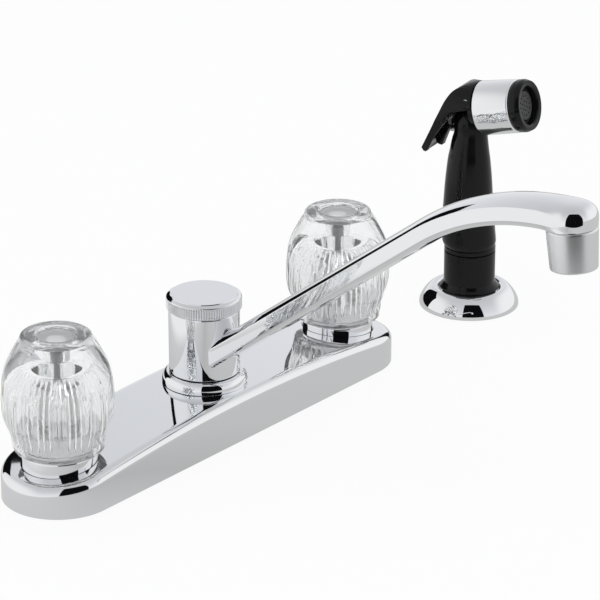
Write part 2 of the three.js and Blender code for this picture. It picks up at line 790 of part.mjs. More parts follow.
function sprayGuide() {
  const lipRadius = flangeThroat - runningGap;
  return revolve([
    [guideBore, -guideLength],
    [guideRadius - 2.4, -guideLength],
    [guideRadius - 2.4, 0],
    [lipRadius, 0],
    [lipRadius, guideTopZ],
    [guideRadius - 1.4, guideTopZ + 1.6],
    [guideBore + 1.4, guideTopZ + 1.6],
    [guideBore, guideTopZ],
  ]);
}

// The coupling rests with its skirt on the flange and reaches down into the guide.
function sprayCollar() {
  const seatZ = flangeTopZ - 1.5;
  return revolve([
    [collarHoseBore, -8],
    [guideBore - 1.5, -8],
    [guideBore - runningGap, -5],
    [guideBore - runningGap, guideTopZ + 2.2],
    [collarSkirtRadius - 2.4, guideTopZ + 2.2],
    [collarSkirtRadius - 1, seatZ],
    [collarSkirtRadius, collarSkirtZ - 0.6],
    [collarSkirtRadius, collarSkirtZ + 0.4],
    [collarSkirtRadius - 1, collarSkirtZ + 1.4],
    [collarBodyRadius, collarSkirtZ + 3],
    [collarBodyRadius, collarTopSprayZ],
    [collarBodyRadius - 3.3, collarTopSprayZ],
    [collarBodyRadius - 3.3, collarTopSprayZ + 8],
    [collarHoseBore, collarTopSprayZ + 8],
  ]);
}

function circleRing(s, z, radius, count = shownFacets) {
  return polygon(count, () => radius).map(([x, y]) => new THREE.Vector3(s + x, y, z));
}

function onHeadAxis(manifold) {
  return manifold.rotate([0, 90, 0]).rotate([0, -headTilt, 0]).translate([0, 0, headZ]);
}

function sprayHandle() {
  const bottom = collarTopSprayZ + runningGap;
  const grip = [
    [bottom, 0, collarBodyRadius - 0.5],
    [bottom + 0.5, 0, collarBodyRadius],
    [handleFromZ - 0.5, 0, collarBodyRadius],
    [handleFromZ, 0, collarBodyRadius - 0.5],
    [handleFromZ + 0.6, -0.3, collarBodyRadius],
    [handleFromZ + 3, -0.6, 14],
    [handleFromZ + 8, -handleLean * 0.7, 13.9],
    [57, -handleLean, 12.8],
    [68, -handleLean, 12.1],
    [79, -handleLean, 11],
    [84, -handleLean, 10.2],
    [90, -handleLean * 0.8, 9.3],
    [96, -handleLean * 0.5, 8.2],
    [101, 0, 7],
    [104.5, 0, 5],
  ];
  const rings = grip.map(([z, s, radius]) => circleRing(s, z, radius));
  const coreRadius = leverHalfWidth - leverWall - 0.5;
  const core = onHeadAxis(revolve([
    [0, -4.5],
    [4.5, -4],
    [8, -1.5],
    [coreRadius - 0.6, 2],
    [coreRadius, 4.5],
    [coreRadius, shellFrom],
    [headRadius - shellWall - runningGap, shellFrom + 0.6],
    [headRadius - shellWall - runningGap - 0.4, shellTo - 3],
    [0, shellTo - 3],
  ], hiddenFacets));
  const socket = cylinder(collarBodyRadius - 3, bottom - 1, collarTopSprayZ + 8.6, shownFacets);
  const pinBore = acrossAtPin(leverPinRadius + runningGap, leverHalfWidth);
  const plungerBore = cylinder(plungerRadius + runningGap, 2 * plungerTipS, -1, smallFacets)
    .rotate([0, 90, 0]).translate([0, 0, plungerZ]);
  return loft(rings).add(core).subtract(socket).subtract(pinBore).subtract(plungerBore);
}

function sprayShell() {
  const front = headRadius - 0.4;
  return onHeadAxis(revolve([
    [headRadius - shellWall, shellFrom],
    [headRadius - 0.3, shellFrom],
    [headRadius, shellFrom + 0.6],
    [front, shellTo - 1],
    [front - 0.7, shellTo],
    [front - shellWall - 0.3, shellTo],
    [front - shellWall - 0.3, shellTo - 2],
    [headRadius - shellWall, shellFrom + 3],
  ]));
}

function sprayNozzle() {
  const root = headRadius - shellWall - 1.1;
  const floorAt = nozzleTo - nozzleDepth;
  return onHeadAxis(revolve([
    [0, shellTo - 3 + seatGap],
    [root - 0.6, shellTo - 3 + seatGap],
    [root - 0.6, shellTo + 0.2],
    [headRadius - 0.9, shellTo + 0.2],
    [headRadius - 0.6, shellTo + 1.4],
    [nozzleRimRadius + 0.5, nozzleTo - 1.6],
    [nozzleRimRadius, nozzleTo - 0.5],
    [nozzleRimRadius - 0.8, nozzleTo],
    [nozzleFloorRadius + 0.8, nozzleTo - 1.2],
    [nozzleFloorRadius, floorAt],
    [0, floorAt],
  ]));
}

function sprayFace() {
  const floorAt = nozzleTo - nozzleDepth + seatGap;
  let face = revolve([
    [0, floorAt],
    [sprayFaceRadius, floorAt],
    [sprayFaceRadius, floorAt + sprayFaceStep - 0.3],
    [sprayFaceRadius - 0.3, floorAt + sprayFaceStep],
    [0, floorAt + sprayFaceStep],
  ], hiddenFacets);
  for (let i = 0; i < sprayHoles; i += 1) {
    const angle = (i / sprayHoles) * 2 * Math.PI;
    const hole = cylinder(sprayHoleRadius, floorAt + 0.6, floorAt + sprayFaceStep + 1, 4);
    const ring = sprayFaceRadius * 0.68;
    face = face.subtract(hole.translate([ring * Math.cos(angle), ring * Math.sin(angle), 0]));
  }
  return onHeadAxis(face);
}

// Lever: a channel bent over the back of the head and down behind the grip. Its side view is drawn in
// shares of the head's radius, from where the head axis crosses the swivel axis.
const besideHead = ([s, z]) => [s * headRadius, headZ + z * headRadius];
const curveBesideHead = (shares) => (
  new THREE.SplineCurve(shares.map(besideHead).map(([s, z]) => new THREE.Vector2(s, z))));
const leverOuter = curveBesideHead([
  [0.4, 1.07], [0, 1.036], [-0.33, 0.893], [-0.57, 0.679], [-0.98, -0.15], [-1.19, -0.58], [-1.74, -1.586],
]);
const leverInner = curveBesideHead([
  [-1.51, -1.686], [-1.17, -1.08], [-0.81, -0.557], [-0.4, -0.086], [-0.14, 0.129], [0.39, 0.257],
]);

function leverBlank(inset, openBelow) {
  const outline = leverOuter.getPoints(16).map((p, i, all) => {
    const next = all[Math.min(i + 1, all.length - 1)];
    const last = all[Math.max(i - 1, 0)];
    const normal = new THREE.Vector2(next.y - last.y, last.x - next.x).normalize();
    return [p.x + normal.x * inset, p.y + normal.y * inset];
  });
  const tipCorner = besideHead([-1.59, -1.74]);
  const below = openBelow
    ? [[-1.7, -2.6], [-0.57, -2.6], [0.57, -0.76], [0.57, 0.8]].map(besideHead)
    : [tipCorner, ...leverInner.getPoints(8).map((p) => [p.x, p.y])];
  const reach = headRadius * 1.5;
  return prism([...outline, ...below], 2 * reach, (g) => g.rotateX(Math.PI / 2).translate(0, reach, 0));
}

// Seen from behind: round like the head at the top, drawn in towards the finger end.
function leverWidth(inset) {
  const wide = leverHalfWidth - inset;
  const tip = leverTipHalfWidth - inset;
  const crown = arc(0, headZ + 1, headRadius - inset, 20, 160, 10);
  const [lowZ, tipZ, wideZ] = [-3.3, -1.76, -0.4].map((share) => headZ + share * headRadius);
  const outline = [[tip, lowZ], [tip, tipZ], [wide, wideZ], ...crown];
  outline.push([-wide, wideZ], [-tip, tipZ], [-tip, lowZ]);
  const reach = headRadius * 2.5;
  return prism(outline, 2 * reach, (g) => (
    g.rotateX(Math.PI / 2).rotateZ(-Math.PI / 2).translate(reach, 0, 0)));
}

// A bore for the lever's pin, as a cylinder across the head.
function acrossAtPin(radius, half) {
  return cylinder(radius, -half, half, smallFacets).rotate([90, 0, 0]).translate([leverPinS, 0, leverPinZ]);
}

const leverPinHalf = leverHalfWidth - leverWall + leverPinSeat;

function sprayTrigger() {
  const body = leverBlank(0, false).intersect(leverWidth(0));
  const channel = leverBlank(-leverWall, true).intersect(leverWidth(leverWall));
  const ribFront = plungerTipS - runningGap;
  const ribThickness = 3.4;
  const rib = prism([
    ...[[-1.47, -1.22], [-1.39, -1.49], [-1.27, -1.56], [-1.16, -1.56], [-1.01, -1.16]].map(besideHead),
    [ribFront, plungerZ],
    [ribFront - 0.4, plungerZ + 3.5],
    besideHead([-0.96, -0.25]),
  ], ribThickness, (g) => g.rotateX(Math.PI / 2).translate(0, ribThickness / 2, 0));
  const pinBore = acrossAtPin(leverPinRadius + seatGap, leverPinHalf + seatGap);
  const rim = onHeadAxis(cylinder(headRadius * 1.3, shellFrom - leverRimGap, shellTo, shownFacets));
  return body.subtract(channel).add(rib).subtract(pinBore).subtract(rim);
}

function triggerPin() {
  return acrossAtPin(leverPinRadius, leverPinHalf);
}

function sprayPlunger() {
  return cylinder(plungerRadius, plungerTipS, plungerTipS + plungerLength, smallFacets)
    .rotate([0, 90, 0]).translate([0, 0, plungerZ]);
}

// ---------------------------------------------------------------- assembly
add('deck_plate', 'chrome', deckPlate());
add('deck_gasket', 'rubber', deckGasket());
add('waterway', 'brass', waterway());
add('hub_ring', 'chrome', hubRing());
add('hub_post', 'brass', hubPost());
add('spout_cap', 'chrome', spoutCap());
add('diverter_piston', 'nylon', diverterPiston());
oringLevels.forEach((z, i) => {
  const middle = (oringGrooveRadius + columnBore) / 2 - 0.05;
  add(`spout_oring_${i + 1}`, 'rubber', torus(middle, oringSection, z));
});
add('spout', 'chrome', spout());
add('aerator_shell', 'chrome', aeratorShell());
add('aerator_insert', 'nylon', aeratorInsert());

for (const [side, name] of [[-1, 'left'], [1, 'right']]) {
  const valve = new THREE.Group();
  valve.position.x = side * valveX;
  faucet.add(valve);
  add(`valve_collar_${name}`, 'chrome', valveCollar(), valve);
  add(`bonnet_${name}`, 'chrome', bonnet(), valve);
  add(`valve_seat_${name}`, 'rubber', valveSeat(), valve);
  add(`valve_stem_${name}`, 'brass', valveStem(), valve);
  add(`knob_${name}`, 'clear', knob(), valve);
  add(`index_button_${name}`, 'clear', indexButton(), valve);
  add(`handle_screw_${name}`, 'steel', handleScrew(), valve);
  add(`deck_washer_${name}`, 'steel', deckWasher(shankRadius), valve);
  add(`mounting_nut_${name}`, 'nylon', flangedNut(shankRadius, -deckThickness - washerThickness), valve);
}

add('spray_flange', 'chrome', sprayFlange(), spray);
add('spray_guide', 'black', sprayGuide(), spray);
add('spray_washer', 'steel', deckWasher(guideRadius - 2.4), spray);
add('spray_nut', 'nylon', flangedNut(guideRadius - 2.4, -deckThickness - washerThickness), spray);
add('spray_collar', 'black', sprayCollar(), spray);
add('spray_handle', 'black', sprayHandle(), spray);
add('spray_shell', 'chrome', sprayShell(), spray);
add('spray_nozzle', 'black', sprayNozzle(), spray);
add('spray_face', 'black', sprayFace(), spray);
add('spray_trigger', 'black', sprayTrigger(), spray);
add('trigger_pin', 'steel', triggerPin(), spray);
add('spray_plunger', 'steel', sprayPlunger(), spray);

export default faucet;
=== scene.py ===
"""Two-handle kitchen faucet with a side spray, dressed for rendering. Lengths here are in millimetres."""
import json
import math

import bmesh
import bpy
from mathutils import Matrix, Vector

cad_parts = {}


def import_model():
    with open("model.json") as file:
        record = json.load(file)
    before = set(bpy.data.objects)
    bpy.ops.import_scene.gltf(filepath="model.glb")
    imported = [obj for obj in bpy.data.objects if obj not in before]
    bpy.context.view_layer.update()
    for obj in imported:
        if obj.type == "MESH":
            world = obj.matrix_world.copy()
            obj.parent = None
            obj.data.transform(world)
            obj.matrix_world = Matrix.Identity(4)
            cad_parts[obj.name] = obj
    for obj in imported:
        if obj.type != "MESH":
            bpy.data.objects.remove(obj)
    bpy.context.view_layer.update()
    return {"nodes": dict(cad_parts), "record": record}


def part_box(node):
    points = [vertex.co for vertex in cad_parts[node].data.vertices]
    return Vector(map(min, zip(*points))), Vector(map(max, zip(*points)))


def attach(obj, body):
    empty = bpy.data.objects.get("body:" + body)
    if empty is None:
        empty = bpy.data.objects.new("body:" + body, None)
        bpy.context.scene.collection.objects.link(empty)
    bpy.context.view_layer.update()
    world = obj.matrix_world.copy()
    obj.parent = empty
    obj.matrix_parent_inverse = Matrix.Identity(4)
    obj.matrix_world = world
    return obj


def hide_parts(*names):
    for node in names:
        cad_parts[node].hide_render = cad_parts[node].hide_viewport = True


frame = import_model()
MM = 0.001


# ---------------------------------------------------------------- sizes read from the frame
def extent(node):
    """Lowest and highest corner of a CAD node, in millimetres."""
    low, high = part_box(node)
    return [value / MM for value in low], [value / MM for value in high]


plate_high = extent("deck_plate")[1]
knob_low, knob_high = extent("knob_right")
PLATE_RADIUS = plate_high[1]
PLATE_CROWN = plate_high[2]
VALVE_X = plate_high[0] - PLATE_RADIUS
KNOB_FOOT = knob_low[2]
KNOB_TOP = knob_high[2]
CAP_TOP = extent("spout_cap")[1][2]

# ---------------------------------------------------------------- sizes of the form
# Heights are over the deck. The spray's own are along its axis, and its S is towards the nozzle.
PLATE_ARCH = 960.0
PLATE_EDGE = 4.5
PLATE_WALL = 2.2
COLLAR_RADIUS = 17.6
COLLAR_TOP = 23.5
BONNET_RADIUS = 14.65
BONNET_TOP = 36.5
HUB_HOLE_RADIUS = 15.7
COLUMN_RADIUS = 16.94
COLUMN_BORE = 13.3
COLUMN_TOP = 60.2
HUB_RING_RADIUS = 20.4
HUB_RING_SHOULDER = 17.8
HUB_RING_HEIGHT = 5.2
CAP_RADIUS = 18.0
CAP_TEETH = 92
KNURL_TOP = 66.2

PETALS = 12
PETAL_DEPTH = 0.9
PETAL_FROM = 29.0
PETAL_WIDE = 45.0
PETAL_TIP = 61.0
RIBS = 36
RIB_DEPTH = 1.1
CAVITY_RADIUS = 16.8
CAVITY_FLOOR = 27.5
CAVITY_TOP = 61.5
CAVITY_SHAPE = [(CAVITY_FLOOR, 1), (29.2, 1), (41.1, 1.02), (51.3, 0.95), (57.4, 0.8), (CAVITY_TOP, 0.6)]
BOSS_RADIUS = 7.6
BOSS_FROM = 41.0
STEM_TOP = 56.0
SCREW_SEAT = 66.0
SCREW_BORE = 1.95
SCREW_WELL = 4.2
STEM_BORE = 4.8
BUTTON_FLOOR = 75.0
BUTTON_RADIUS = 9.6

SPOUT_REACH = 207.4
ARM_RISE = math.radians(36.95)
ARM_ROOT_Z = 35.65
ARM_BEND = 128.7
ARM_STRAIGHT = SPOUT_REACH - ARM_BEND * math.sin(ARM_RISE)
ARM_HALF = 11.65
ARM_DOME = 3.3
ARM_SIDE = 6.2
ARM_DEPTH = 8.1
ARM_UNDER = 9.7
NOSE_REACH = 11.2
NOSE_DEPTH = 9.1
NOSE_SHOULDER = 5.0
NOSE_FULLNESS = 2.6
NOSE_ROLL = 11.0
NOSE_LEVEL = ARM_ROOT_Z + ARM_STRAIGHT * math.tan(ARM_RISE) + ARM_BEND * (1 - math.cos(ARM_RISE))
NOSE_DROP = 8.3
NOSE_FLOOR = NOSE_LEVEL - NOSE_DROP
OUTLET_TILT = math.radians(5.4)
OUTLET_RADIUS = 9.2
AERATOR_TOP_RADIUS = 11.37
AERATOR_BOTTOM_RADIUS = 10.48
AERATOR_HEIGHT = 18.2

SPRAY_X = 203.0
SPRAY_Y = -7.0
SPRAY_HEADING = math.radians(-80)
HEAD_Z = 106.7
HEAD_TILT = math.radians(12.4)
HEAD_RADIUS = 14.0
LEVER_HALF = 13.4
LEVER_TIP_HALF = 8.6
LEVER_WALL = 2.3
PIN_S = 1.6
PIN_Z = 113.6
PIN_RADIUS = 1.6
PLUNGER_Z = 94.5
PLUNGER_TIP = -12.3

RUNNING_GAP = 0.3
SHARP = 34.0  # degrees between faces, over which an edge is drawn crisp


# ---------------------------------------------------------------- camera
def set_camera():
    """The photograph's view: a long lens, looking down on the left front of the faucet."""
    azimuth = math.radians(-50.92)
    elevation = math.radians(22.20)
    distance = 1.618
    target = Vector((0.0719, 0.0, 0.0410))
    back = Vector((
        math.sin(azimuth) * math.cos(elevation),
        -math.cos(azimuth) * math.cos(elevation),
        math.sin(elevation),
    ))
    data = bpy.data.cameras.new("camera")
    data.sensor_width = 36.0
    data.lens = 198.1
    data.clip_end = 50.0
    camera = bpy.data.objects.new("camera", data)
    camera.location = target + back * distance
    camera.rotation_euler = (-back).to_track_quat("-Z", "Y").to_euler()
    bpy.context.collection.objects.link(camera)
    bpy.context.scene.camera = camera


set_camera()


# ---------------------------------------------------------------- materials
def new_material(name, color, metallic=0.0, roughness=0.4, **sockets):
    """A Principled material. Further sockets are given by name, with _ for a space."""
    made = bpy.data.materials.new(name)
    made.use_nodes = True
    shader = made.node_tree.nodes["Principled BSDF"]
    shader.inputs["Base Color"].default_value = (*color, 1.0)
    shader.inputs["Metallic"].default_value = metallic
    shader.inputs["Roughness"].default_value = roughness
    for socket, value in sockets.items():
        shader.inputs[socket.replace("_", " ")].default_value = value
    return made


def noise(made, scale, detail=2.0, stretch=(1, 1, 1)):
    """Noise over the object's own coordinates, in features of about 1 / scale metres."""
    nodes, links = made.node_tree.nodes, made.node_tree.links
    place = nodes.new("ShaderNodeTexCoord")
    mapping = nodes.new("ShaderNodeMapping")
    mapping.inputs["Scale"].default_value = stretch
    texture = nodes.new("ShaderNodeTexNoise")
    texture.inputs["Scale"].default_value = scale
    texture.inputs["Detail"].default_value = detail
    links.new(place.outputs["Object"], mapping.inputs["Vector"])
    links.new(mapping.outputs["Vector"], texture.inputs["Vector"])
    return texture.outputs["Fac"]


def vary(made, socket, field, low, high):
    """Drive a number of the shader between two values."""
    nodes, links = made.node_tree.nodes, made.node_tree.links
    spread = nodes.new("ShaderNodeMapRange")
    spread.inputs["From Min"].default_value = 0.3
    spread.inputs["From Max"].default_value = 0.7
    spread.inputs["To Min"].default_value = low
    spread.inputs["To Max"].default_value = high
    links.new(field, spread.inputs["Value"])
    links.new(spread.outputs["Result"], nodes["Principled BSDF"].inputs[socket])


def tint(made, field, dark, light):
    """Drive the base colour between two colours."""
    nodes, links = made.node_tree.nodes, made.node_tree.links
    ramp = nodes.new("ShaderNodeValToRGB")
    ramp.color_ramp.elements[0].position = 0.35
    ramp.color_ramp.elements[1].position = 0.65
    ramp.color_ramp.elements[0].color = (*dark, 1)
    ramp.color_ramp.elements[1].color = (*light, 1)
    links.new(field, ramp.inputs["Fac"])
    links.new(ramp.outputs["Color"], nodes["Principled BSDF"].inputs["Base Color"])


def bump(made, field, height):
    """Small relief, its height in metres."""
    nodes, links = made.node_tree.nodes, made.node_tree.links
    relief = nodes.new("ShaderNodeBump")
    relief.inputs["Strength"].default_value = 1.0
    relief.inputs["Distance"].default_value = height
    links.new(field, relief.inputs["Height"])
    links.new(relief.outputs["Normal"], nodes["Principled BSDF"].inputs["Normal"])


def chrome_material():
    """Polished chrome plate: nearly a mirror, over a casting that is a little less than flat."""
    made = new_material("chrome", (0.86, 0.87, 0.885), metallic=1.0, roughness=0.03)
    vary(made, "Roughness", noise(made, 60.0), 0.015, 0.045)
    bump(made, noise(made, 45.0, 0.0), 0.000012)
    return made


def satin_chrome_material():
    """The aerator's plate, turned to a fine grain that runs round it."""
    made = new_material("satin_chrome", (0.84, 0.85, 0.86), metallic=1.0, roughness=0.34)
    vary(made, "Roughness", noise(made, 900.0, 3.0, (0.1, 0.1, 6.0)), 0.3, 0.38)
    bump(made, noise(made, 1200.0, 1.0, (0.1, 0.1, 4.0)), 0.000002)
    return made


def bonnet_material():
    """The bonnet's plate, duller than the trim round it."""
    made = new_material("bonnet_chrome", (0.6, 0.605, 0.615), metallic=1.0, roughness=0.14)
    vary(made, "Roughness", noise(made, 300.0), 0.1, 0.18)
    return made


def screw_material():
    """Dark plated steel of the handle screws."""
    made = new_material("dark_steel", (0.16, 0.16, 0.165), metallic=1.0, roughness=0.35)
    vary(made, "Roughness", noise(made, 600.0), 0.3, 0.42)
    return made


def acrylic_material():
    """Clear moulding, with the slight waves of a thick casting."""
    made = new_material(
        "clear_acrylic", (0.98, 0.985, 0.988), roughness=0.015, IOR=1.49, Transmission_Weight=0.92
    )
    bump(made, noise(made, 110.0, 1.0), 0.00002)
    return made


def button_material():
    """The round insert of the knob: clear and faintly frosted below."""
    made = new_material(
        "index_button", (0.95, 0.955, 0.965), roughness=0.14, IOR=1.49, Transmission_Weight=0.6
    )
    vary(made, "Roughness", noise(made, 400.0), 0.12, 0.2)
    return made


def black_plastic_material():
    made = new_material("black_plastic", (0.004, 0.004, 0.0045), roughness=0.16, Specular_IOR_Level=0.24)
    vary(made, "Roughness", noise(made, 300.0, 3.0), 0.12, 0.2)
    bump(made, noise(made, 90.0, 1.0), 0.00002)
    return made


def screen_material():
    made = new_material("spray_screen", (0.022, 0.023, 0.024), roughness=0.38)
    bump(made, noise(made, 1500.0, 2.0), 0.00001)
    return made


def brass_material():
    made = new_material("brass", (0.62, 0.47, 0.24), metallic=1.0, roughness=0.35)
    tint(made, noise(made, 80.0, 4.0), (0.52, 0.37, 0.17), (0.66, 0.5, 0.27))
    bump(made, noise(made, 700.0, 3.0), 0.00003)
    return made


def steel_material():
    made = new_material("stainless_steel", (0.6, 0.6, 0.58), metallic=1.0, roughness=0.3)
    vary(made, "Roughness", noise(made, 500.0, 3.0), 0.22, 0.38)
    return made


def rubber_material():
    made = new_material("rubber", (0.02, 0.02, 0.02), roughness=0.75)
    bump(made, noise(made, 900.0, 3.0), 0.00004)
    return made


def nylon_material():
    made = new_material("white_plastic", (0.8, 0.78, 0.72), roughness=0.45, Subsurface_Weight=0.1)
    made.node_tree.nodes["Principled BSDF"].inputs["Subsurface Radius"].default_value = (0.002,) * 3
    bump(made, noise(made, 400.0, 2.0), 0.00002)
    return made


MATERIALS = {
    "chrome": chrome_material(),
    "clear_acrylic": acrylic_material(),
    "index_button": button_material(),
    "black_plastic": black_plastic_material(),
    "spray_screen": screen_material(),
    "brass": brass_material(),
    "stainless_steel": steel_material(),
    "rubber": rubber_material(),
    "white_plastic": nylon_material(),
}
SATIN_CHROME = satin_chrome_material()
BONNET_CHROME = bonnet_material()
DARK_STEEL = screw_material()
NODE_SLOTS = {row["node"]: row["material_slot"] for row in frame["record"]["subparts"]}
BODY_OF = {node: body for body, nodes in frame["record"]["behaviour"]["bodies"].items() for node in nodes}


# ---------------------------------------------------------------- mesh helpers
def skin(rings, loop=False, start=None, end=None):
    """Points and faces of a skin through rings of equal length. loop joins the last ring to the first.
    An open end is closed by a "fan", or "across" where the ring mirrors itself about its first point."""
    count = len(rings[0])
    points = [tuple(point) for ring in rings for point in ring]
    faces = []
    last = len(rings) if loop else len(rings) - 1
    for k in range(last):
        here, there = k * count, (k + 1) % len(rings) * count
        for i in range(count):
            j = (i + 1) % count
            faces.append((here + i, here + j, there + j, there + i))
    for cap, first in ((start, 0), (end, (len(rings) - 1) * count)):
        if cap == "fan":
            middle = sum((Vector(p) for p in points[first:first + count]), Vector()) / count
            points.append(tuple(middle))
            faces += [(len(points) - 1, first + i, first + (i + 1) % count) for i in range(count)]
        if cap == "across":
            for i in range(count // 2):
                faces.append((
                    first + i, first + i + 1,
                    first + (count - i - 1) % count, first + (count - i) % count,
                ))
    return points, faces


def lathe(outline, steps=128, radius=None):
    """Skin of an outline of (radius, height) points turned about Z.
    radius(angle, r, z) can shape its rings."""
    rings = []
    for r, z in outline:
        ring = []
        for i in range(steps):
            angle = 2 * math.pi * i / steps
            reach = radius(angle, r, z) if radius and r > 0 else r
            ring.append((reach * math.cos(angle), reach * math.sin(angle), z))
        rings.append(ring)
    on_axis = outline[0][0] == 0 and outline[-1][0] == 0
    return skin(rings, loop=not on_axis)


def arc(centre_x, centre_y, radius, start, stop, steps=8):
    """Points on an arc, its angles in degrees."""
    points = []
    for i in range(steps + 1):
        angle = math.radians(start + (stop - start) * i / steps)
        points.append((centre_x + radius * math.cos(angle), centre_y + radius * math.sin(angle)))
    return points


def bezier(a, b, c, d, steps):
    points = []
    for i in range(steps + 1):
        t = i / steps
        shares = ((1 - t) ** 3, 3 * t * (1 - t) ** 2, 3 * t * t * (1 - t), t ** 3)
        points.append(tuple(sum(share * p[k] for share, p in zip(shares, (a, b, c, d))) for k in (0, 1)))
    return points


def rounded(corners, closed=True, steps=4):
    """Outline through corners of (x, y) or (x, y, radius), with an arc in each corner that has a radius."""
    outline = []
    count = len(corners)
    for i, corner in enumerate(corners):
        here = Vector(corner[:2])
        at_end = not closed and i in (0, count - 1)
        if len(corner) == 2 or at_end:
            outline.append(tuple(here))
            continue
        radius = corner[2]
        before = (Vector(corners[i - 1][:2]) - here)
        after = (Vector(corners[(i + 1) % count][:2]) - here)
        half = before.angle(after) / 2
        if radius < 1e-3 or half > math.radians(89.5):
            outline += [tuple(here)] * (steps + 1)
            continue
        setback = min(radius / math.tan(half), before.length * 0.49, after.length * 0.49)
        radius = setback * math.tan(half)
        centre = here + (before.normalized() + after.normalized()).normalized() * (radius / math.sin(half))
        first = here + before.normalized() * setback - centre
        last = here + after.normalized() * setback - centre
        turn = first.angle_signed(last)
        for k in range(steps + 1):
            spoke = first.copy()
            spoke.rotate(Matrix.Rotation(-turn * k / steps, 2))
            outline.append(tuple(centre + spoke))
    return outline


def mesh_object(name, surface, place=None, sharp=SHARP):
    """A smooth-shaded object of points in millimetres, crisp where it turns more than an angle."""
    points, faces = surface
    place = place or Matrix.Identity(4)
    work = bmesh.new()
    made = [work.verts.new((place @ Vector(point)) * MM) for point in points]
    for face in faces:
        work.faces.new(dict.fromkeys(made[i] for i in face))
    bmesh.ops.remove_doubles(work, verts=work.verts, dist=1e-7)
    bmesh.ops.recalc_face_normals(work, faces=work.faces)
    mesh = bpy.data.meshes.new(name)
    work.to_mesh(mesh)
    work.free()
    mesh.shade_smooth()
    mesh.set_sharp_from_angle(angle=math.radians(sharp))
    piece = bpy.data.objects.new(name, mesh)
    bpy.context.collection.objects.link(piece)
    return piece


def combine(piece, tool, operation):
    """Join, cut or intersect a piece with a tool, which is used up."""
    modifier = piece.modifiers.new("combine", "BOOLEAN")
    modifier.operation = operation
    modifier.solver = "EXACT"
    modifier.object = tool
    graph = bpy.context.evaluated_depsgraph_get()
    mesh = bpy.data.meshes.new_from_object(piece.evaluated_get(graph))
    piece.modifiers.clear()
    piece.data = mesh
    bpy.data.objects.remove(tool)
    mesh.shade_smooth()
    mesh.set_sharp_from_angle(angle=math.radians(SHARP))
    return piece


def pierce(piece, hole, place, rings):
    """Cut a hole many times, in rings of (count, radius) about an axis."""
    for count, ring in rings:
        for i in range(count):
            angle = 2 * math.pi * i / count
            spot = Matrix.Translation((ring * math.cos(angle), ring * math.sin(angle), 0))
            combine(piece, mesh_object("hole", hole, place @ spot), "DIFFERENCE")


def dress(piece, node, material=None):
    """Let a piece stand for a CAD node: on its body, in its slot, with its material."""
    piece.data.materials.clear()
    piece.data.materials.append(material or MATERIALS[NODE_SLOTS[node]])
    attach(piece, BODY_OF[node])
    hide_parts(node)
    return piece


def turned(node, corners, steps=128, place=None, radius=None, material=None, fillet_steps=4):
    """A turned piece that stands for a CAD node."""
    on_axis = corners[0][0] == 0 and corners[-1][0] == 0
    outline = rounded(corners, closed=not on_axis, steps=fillet_steps)
    piece = mesh_object(node + "_smooth", lathe(outline, steps, radius), place)
    return dress(piece, node, material)


# ---------------------------------------------------------------- deck plate
def plate_top(x):
    return PLATE_CROWN - x * x / (2 * PLATE_ARCH)


def stadium(radius, turn_steps=48, side_steps=60):
    """Outline with two round ends, from its +X end, the same forwards and back across X."""
    half = []
    for i in range(turn_steps // 2 + 1):
        angle = math.pi * i / turn_steps
        half.append((VALVE_X + radius * math.cos(angle), radius * math.sin(angle)))
    for i in range(1, side_steps + 1):
        half.append((VALVE_X - 2 * VALVE_X * i / side_steps, radius))
    for i in range(1, turn_steps // 2 + 1):
        angle = math.pi / 2 + math.pi * i / turn_steps
        half.append((-VALVE_X + radius * math.cos(angle), radius * math.sin(angle)))
    return half + [(x, -y) for x, y in reversed(half[1:-1])]


def plate_rings(radius, drop, edge, base, edge_steps):
    """Rings up the wall and over the rounded edge."""
    rings = [[(x, y, base) for x, y in stadium(radius)]]
    for i in range(edge_steps + 1):
        angle = math.pi / 2 * i / edge_steps
        inset = edge * (1 - math.cos(angle))
        below = drop + edge * (1 - math.sin(angle))
        rings.append([(x, y, plate_top(x) - below) for x, y in stadium(radius - inset)])
    rings.append([(x, y, plate_top(x) - drop) for x, y in stadium(radius - edge - 0.6)])
    return rings


def deck_plate():
    foot = 0.4
    outer = plate_rings(PLATE_RADIUS, 0, PLATE_EDGE, foot, 10)
    inner = plate_rings(PLATE_RADIUS - PLATE_WALL, PLATE_WALL, PLATE_EDGE - PLATE_WALL, 0, 3)
    foot_ring = [(x, y, 0) for x, y in stadium(PLATE_RADIUS - foot)]
    surface = skin(inner[::-1] + [foot_ring] + outer, start="across", end="across")
    plate = mesh_object("deck_plate_smooth", surface)
    collar_hole = COLLAR_RADIUS + RUNNING_GAP
    for x, radius in ((-VALVE_X, collar_hole), (VALVE_X, collar_hole), (0, HUB_HOLE_RADIUS)):
        outline = [(0, 8), (radius, 8), (radius, 30), (0, 30)]
        tool = mesh_object("hole", lathe(outline), Matrix.Translation((x, 0, 0)))
        combine(plate, tool, "DIFFERENCE")
    dress(plate, "deck_plate")


# ---------------------------------------------------------------- valves and knobs
KNOB_PROFILE = [(20.7, 0), (21.9, 7), (24.9, 15.5), (25.7, 25), (24.2, 38), (20.4, 46.8), (16.6, 53.6)]
KNOB_SHOULDER = KNOB_PROFILE[-1][1]


